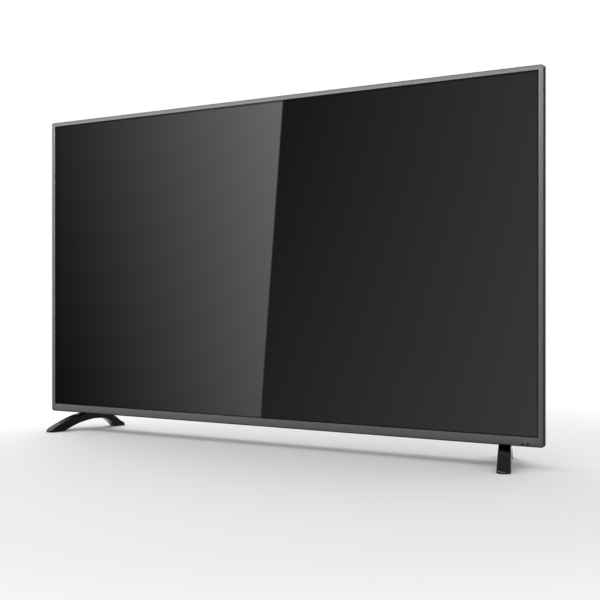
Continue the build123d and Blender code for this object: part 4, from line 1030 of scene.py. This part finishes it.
@dataclass
class AerialDetail:
    """Thread and insulator of the aerial socket."""

    x: float = 0.345
    y: float = -0.0069
    mouth: float = 0.1605
    root: float = 0.00473
    crest: float = 0.00498
    wall: float = 0.0003
    proud: float = 0.0003
    pitch: float = 0.0008
    turns: int = 11
    disc_proud: float = 0.00055
    disc: tuple[Pair, ...] = ((0.00095, 0.0), (0.0026, 0.0), (0.00275, 0.0001), (0.00275, 0.0003),
                              (0.00095, 0.0003))

    def build(self, wardrobe: Wardrobe) -> None:
        """Makes the pieces and gives them their finishes.

        Args:
            wardrobe: The finishes.
        """
        thread = Builder()
        bore = self.root - self.wall
        outline = [(bore, 0.0)]
        for index in range(self.turns):
            outline += [(self.root, index * self.pitch), (self.crest, (index + 0.5) * self.pitch)]
        outline += [(self.root, self.turns * self.pitch), (bore, self.turns * self.pitch)]
        thread.turned(outline, (self.x, self.y, self.mouth + self.proud), UP, 48, True)
        wardrobe.dress(thread.finish("aerial_thread"), "nickel")
        disc = Builder()
        disc.turned(self.disc, (self.x, self.y, self.mouth + self.disc_proud), UP, 40, True)
        wardrobe.dress(disc.finish("aerial_insulator"), "nylon_white")


@dataclass
class MountThreads:
    """Threads cut in the four wall mount posts."""

    half_width: float = 0.2
    heights: Pair = (0.1425, 0.3425)
    rear: float = 0.043
    length: float = 0.0285
    major: float = 0.00298
    minor: float = 0.0026
    flat: float = 0.00004
    sunk: float = 0.0003
    pitch: float = 0.001

    def build(self, wardrobe: Wardrobe) -> None:
        """Makes the threads and gives them their finish.

        Args:
            wardrobe: The finishes.
        """
        builder = Builder()
        turns = int(self.length / self.pitch)
        outline = [(self.major, 0.0)]
        for index in range(turns):
            outline.append((self.major - self.flat, (index + 0.2) * self.pitch))
            outline.append((self.minor, (index + 0.7) * self.pitch))
        outline.append((self.major, turns * self.pitch))
        for x in (-self.half_width, self.half_width):
            for z in self.heights:
                builder.turned(outline, (x, self.rear - self.sunk, z), FORWARD, 32, True)
        wardrobe.dress(builder.finish("mount_threads"), "post_steel")


@dataclass
class PlateDetail:
    """Clinched points pressed into the rows between the ribs of the back plate."""

    rear: float = -0.0207
    half_width: float = 0.53
    columns: int = 11
    row_shares: tuple[float, ...] = (0.63, 0.77, 0.905)
    radius: float = 0.0042
    proud: float = 0.0009
    point_shares: tuple[Pair, ...] = ((0.0, 0.25), (0.42, 0.25), (0.52, 0.75), (0.66, 1.0), (0.8, 0.8),
                                      (1.0, 0.0), (1.0, -0.3), (0.0, -0.3))

    def build(self, wardrobe: Wardrobe) -> None:
        """Makes the clinched points and gives them their finish.

        Args:
            wardrobe: The finishes.
        """
        low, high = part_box("front_bezel")
        point = Builder()
        outline = [(self.radius * wide, self.proud * high) for wide, high in self.point_shares]
        point.turned(outline, ORIGIN, REARWARD, 28)
        shape = point.close("clinch")
        rows = [low[2] + (high[2] - low[2]) * share for share in self.row_shares]
        places = [Matrix.Translation((self.half_width * (2 * index / (self.columns - 1) - 1), self.rear, z))
                  for z in rows for index in range(self.columns)]
        builder = Builder()
        builder.copies(shape, places)
        wardrobe.dress(builder.finish("plate_clinches"), "black_steel")


@dataclass
class CoverDetail:
    """Raised beads round the two recesses of the rear cover."""

    rear: float = 0.043
    width: float = 0.0016
    proud: float = 0.0006
    sunk: float = 0.0001
    gap: float = 0.0018
    plug_sides: Pair = (0.225, 0.463)
    plug_heights: Pair = (0.0975, 0.3425)
    board_corner: Pair = (0.425, 0.1705)
    inlet_sides: Pair = (-0.420, -0.360)
    inlet_top: float = 0.1505

    def build(self, wardrobe: Wardrobe) -> None:
        """Makes the beads and gives them their finish.

        Args:
            wardrobe: The finishes.
        """
        builder = Builder()
        left, right = self.plug_sides[0] - self.gap, self.plug_sides[1] + self.gap
        low, top = self.plug_heights[0] - self.gap, self.plug_heights[1] + self.gap
        step_x, step_z = self.board_corner[0] - self.gap, self.board_corner[1] + self.gap
        plugs = [(left, low), (right, low), (right, top), (step_x, top), (step_x, step_z), (left, step_z)]
        left, right = self.inlet_sides[0] - self.gap, self.inlet_sides[1] + self.gap
        top = self.inlet_top + self.gap
        inlet = [(left, low), (right, low), (right, top), (left, top)]
        for corners in (plugs, inlet):
            builder.frame_bead(corners, self.grown(corners), self.rear - self.sunk, self.proud + self.sunk)
        wardrobe.dress(builder.finish("recess_beads"), "cover_plastic")

    def grown(self, corners: list[Pair]) -> list[Pair]:
        """Draws an outline out by the bead's width.

        Args:
            corners: X and Z of its corners, in order.

        Returns:
            The corners of the wider outline.
        """
        count = len(corners)
        result = []
        for index, (x, z) in enumerate(corners):
            before, after = corners[index - 1], corners[(index + 1) % count]
            shift_x = self.outward(before, (x, z)) + self.outward((x, z), after)
            result.append((x + shift_x[0] * self.width, z + shift_x[1] * self.width))
        return result

    def outward(self, start: Pair, end: Pair) -> Vector:
        """Direction out of an anticlockwise outline across one of its sides."""
        line = Vector((end[0] - start[0], end[1] - start[1])).normalized()
        return Vector((line.y, -line.x))


@dataclass
class KeyMark:
    """Raised ring and dot on the underside of the key."""

    axis_y: float = 0.008
    face: float = 0.0390
    radius: float = 0.0042
    half_width: float = 0.0005
    dot_radius: float = 0.0009
    proud: float = 0.0003
    sunk: float = 0.0001

    def build(self, wardrobe: Wardrobe) -> None:
        """Makes the mark, which moves with the key.

        Args:
            wardrobe: The finishes.
        """
        builder = Builder()
        start = (0.0, self.axis_y, self.face + self.sunk)
        high = self.proud + self.sunk
        half, top = self.half_width, self.half_width * 0.6
        ring = [(self.radius - half, 0.0), (self.radius - half, high * 0.7), (self.radius - top, high),
                (self.radius + top, high), (self.radius + half, high * 0.7), (self.radius + half, 0.0)]
        builder.turned(ring, start, DOWN, 48, True)
        wide = self.dot_radius
        dot = [(0.0, high), (wide * 2 / 3, high), (wide, high * 0.6), (wide, 0.0), (0.0, 0.0)]
        builder.turned(dot, start, DOWN, 24)
        wardrobe.dress(builder.finish("key_mark"), "key_plastic", KEY_CAP)


# Studio

@dataclass
class PhotoCamera:
    """Camera at the photograph's viewing angle."""

    place: Point = (1.14363, -1.84170, 0.31933)
    yaw_degrees: float = 30.092
    pitch_degrees: float = -0.047
    lens: float = 59.094
    sensor: float = 36.0

    def build(self) -> None:
        """Makes the camera and gives it to the scene."""
        data = bpy.data.cameras.new("photo_camera")
        data.lens = self.lens
        data.sensor_width = self.sensor
        data.clip_end = 100.0
        camera = bpy.data.objects.new("photo_camera", data)
        camera.location = self.place
        camera.rotation_euler = (math.radians(90 + self.pitch_degrees), 0, math.radians(self.yaw_degrees))
        bpy.context.scene.collection.objects.link(camera)
        bpy.context.scene.camera = camera


@dataclass
class Studio:
    """Pale floor, white surroundings, one soft lamp and the card that the screen mirrors."""

    floor_half: float = 9.0
    floor_level: float = 0.985
    fade_centre: Pair = (0.05, -0.1)
    fade_stretch: float = 0.9
    fade_near: float = 0.8
    fade_far: float = 1.35
    surround_light: float = 0.825
    lamp_power: float = 30.0
    lamp_place: Point = (-2.0, 0.8, 2.1)
    lamp_aim: Point = (0.0, 0.0, 0.25)
    lamp_size: Pair = (2.6, 1.2)
    card_wall_y: float = -2.35
    card_left: float = -3.4
    card_right: float = 2.6
    card_top: float = 1.36
    soft_top: float = 3.4
    soft_light: float = 11.0
    soft_left: float = -6.0
    soft_lean: float = 0.8
    card_floor_y: float = -0.34
    card_lift: float = 0.004
    mirrored_eye: Point = (1.14363, 1.7777, 0.31933)
    screen_y: float = -0.032
    bright_plane: Point = (0.388, 0.1165, 0.2925)
    dark_plane: Point = (0.137, -0.078, 0.141)
    dark_twist: float = 0.063
    sheen_edge: Pair = (0.0835, -0.0112)
    sheen_blur: float = 0.0015
    screen_span: Pair = (-0.64, 0.61)
    screen_low: float = 0.04
    own_light: float = 0.0040
    mirror_least: float = 0.0203
    mirror_rise: float = 0.011
    least_light: float = 0.02
    dim_span: Pair = (0.612, 0.63)
    dim_share: float = 0.85

    def build(self) -> None:
        """Makes everything round the object."""
        self.surroundings()
        self.floor()
        self.card()
        self.lamp()
        bpy.context.scene.view_settings.view_transform = "Standard"

    def surroundings(self) -> None:
        """White world, whose light on the object is plain."""
        net = Net("white_room", world=True)
        bpy.context.scene.world = net.owner
        light, seen = [net.node("ShaderNodeBackground", {"Color": WHITE, "Strength": strength})
                       for strength in (self.surround_light, 1.0)]
        net.end(net.blend(net.on_view(), light, seen))

    def sheet(self, name: str, corners: list[list[Point]], material: bpy.types.Material) -> bpy.types.Object:
        """Flat stage piece of one or more four-cornered faces.

        Args:
            name: Its name.
            corners: The corners of each face.
            material: What it is made of.

        Returns:
            The stage piece.
        """
        mesh = bmesh.new()
        for points in corners:
            mesh.faces.new([mesh.verts.new(point) for point in points])
        data = bpy.data.meshes.new(name)
        mesh.to_mesh(data)
        mesh.free()
        data.materials.append(material)
        piece = bpy.data.objects.new(name, data)
        bpy.context.scene.collection.objects.link(piece)
        return piece

    def unseen(self, piece: bpy.types.Object) -> None:
        """Leaves a stage piece to reflections alone.

        Args:
            piece: The stage piece.
        """
        piece.visible_camera = False
        piece.visible_shadow = False
        piece.visible_diffuse = False

    def floor(self) -> None:
        """Pale floor that keeps the shadow and fades into the white."""
        net = Net("floor_paint")
        x_axis, y_axis, _ = net.axes()
        from_x, from_y = x_axis - self.fade_centre[0], y_axis - self.fade_centre[1]
        away = (from_x * from_x * self.fade_stretch + from_y * from_y) ** 0.5
        white = away.step(self.fade_near, self.fade_far) * net.on_view()
        paint = net.node("ShaderNodeBsdfDiffuse", {"Color": (*grey(self.floor_level), 1.0)})
        net.end(net.blend(white, paint, net.glow(1.0)))
        half = self.floor_half
        corners = [(-half, -half, 0.0), (half, -half, 0.0), (half, half, 0.0), (-half, half, 0.0)]
        self.sheet("floor", [corners], net.owner)

    def card_light(self) -> bpy.types.Material:
        """Graded light of the card, with one oblique edge, seen in the screen.

        Returns:
            The card's material.
        """
        net = Net("graded_card")
        x_axis, y_axis, z_axis = net.axes()
        eye_x, eye_y, eye_z = self.mirrored_eye
        share = (self.screen_y - eye_y) / (y_axis - eye_y)
        across = ((x_axis - eye_x) * share + eye_x).at_least(self.screen_span[0])
        up = ((z_axis - eye_z) * share + eye_z).at_least(self.screen_low)
        inside = across.at_most(self.screen_span[1])
        bright = self.on_plane(inside, up, self.bright_plane)
        dark = self.on_plane(inside, up, self.dark_plane) + inside * up * self.dark_twist
        bright, dark = [((level + CURVE_OFFSET) / (1 + CURVE_OFFSET)).at_least(0.0) ** CURVE_POWER
                        for level in (bright, dark)]
        edge = up * self.sheen_edge[0] + self.sheen_edge[1]
        lit = (edge - across).step(-self.sheen_blur, self.sheen_blur)
        mirrored = bright * lit + dark * (1 - lit)
        tilt = ((eye_x - across) * 0.5).at_least(0.0)
        mirror_share = (tilt ** 4) * self.mirror_rise + self.mirror_least
        light = ((mirrored - self.own_light) / mirror_share).at_least(self.least_light)
        net.end(net.glow(light * (1 - across.step(*self.dim_span) * self.dim_share)))
        return net.owner

    def on_plane(self, across: Value, up: Value, plane: Point) -> Value:
        """Display level that changes evenly across and up the screen."""
        return across * plane[0] + up * plane[1] + plane[2]

    def card(self) -> None:
        """Large graded card behind the camera, which goes on over the floor, and a soft light above it."""
        wall_y, lift = self.card_wall_y, self.card_lift
        left, right = self.card_left, self.card_right
        wall = [(left, wall_y, lift), (right, wall_y, lift), (right, wall_y, self.card_top),
                (left, wall_y, self.card_top)]
        ground = [(left, wall_y, lift), (right, wall_y, lift), (right, self.card_floor_y, lift),
                  (left, self.card_floor_y, lift)]
        self.unseen(self.sheet("graded_card", [wall, ground], self.card_light()))
        top_y = wall_y + self.soft_lean
        above = [(left, wall_y, self.card_top), (right, wall_y, self.card_top),
                 (right, top_y, self.soft_top), (left, top_y, self.soft_top)]
        net = Net("soft_panel")
        net.end(net.glow(self.soft_light))
        beside = [(self.soft_left, wall_y, lift), (left, wall_y, lift), (left, top_y, self.soft_top),
                  (self.soft_left, top_y, self.soft_top)]
        self.unseen(self.sheet("soft_panel", [above, beside], net.owner))

    def lamp(self) -> None:
        """Wide soft lamp above."""
        data = bpy.data.lights.new("overhead", "AREA")
        data.shape = "RECTANGLE"
        data.size, data.size_y = self.lamp_size
        data.energy = self.lamp_power
        lamp = bpy.data.objects.new("overhead", data)
        lamp.location = self.lamp_place
        aim = Vector(self.lamp_aim) - lamp.location
        lamp.rotation_euler = aim.to_track_quat("-Z", "Y").to_euler()
        bpy.context.scene.collection.objects.link(lamp)


def main() -> None:
    """Builds the studio, dresses the television and adds its small details."""
    logging.basicConfig(level=logging.INFO, format="%(name)s: %(message)s")
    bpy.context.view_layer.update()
    PhotoCamera().build()
    Studio().build()
    wardrobe = Wardrobe()
    wardrobe.dress_nodes()
    for detail in (Fasteners(), SocketDetail(), AerialDetail(), MountThreads(), PlateDetail(), CoverDetail(),
                   KeyMark()):
        detail.build(wardrobe)


if __name__ == "__main__":
    main()
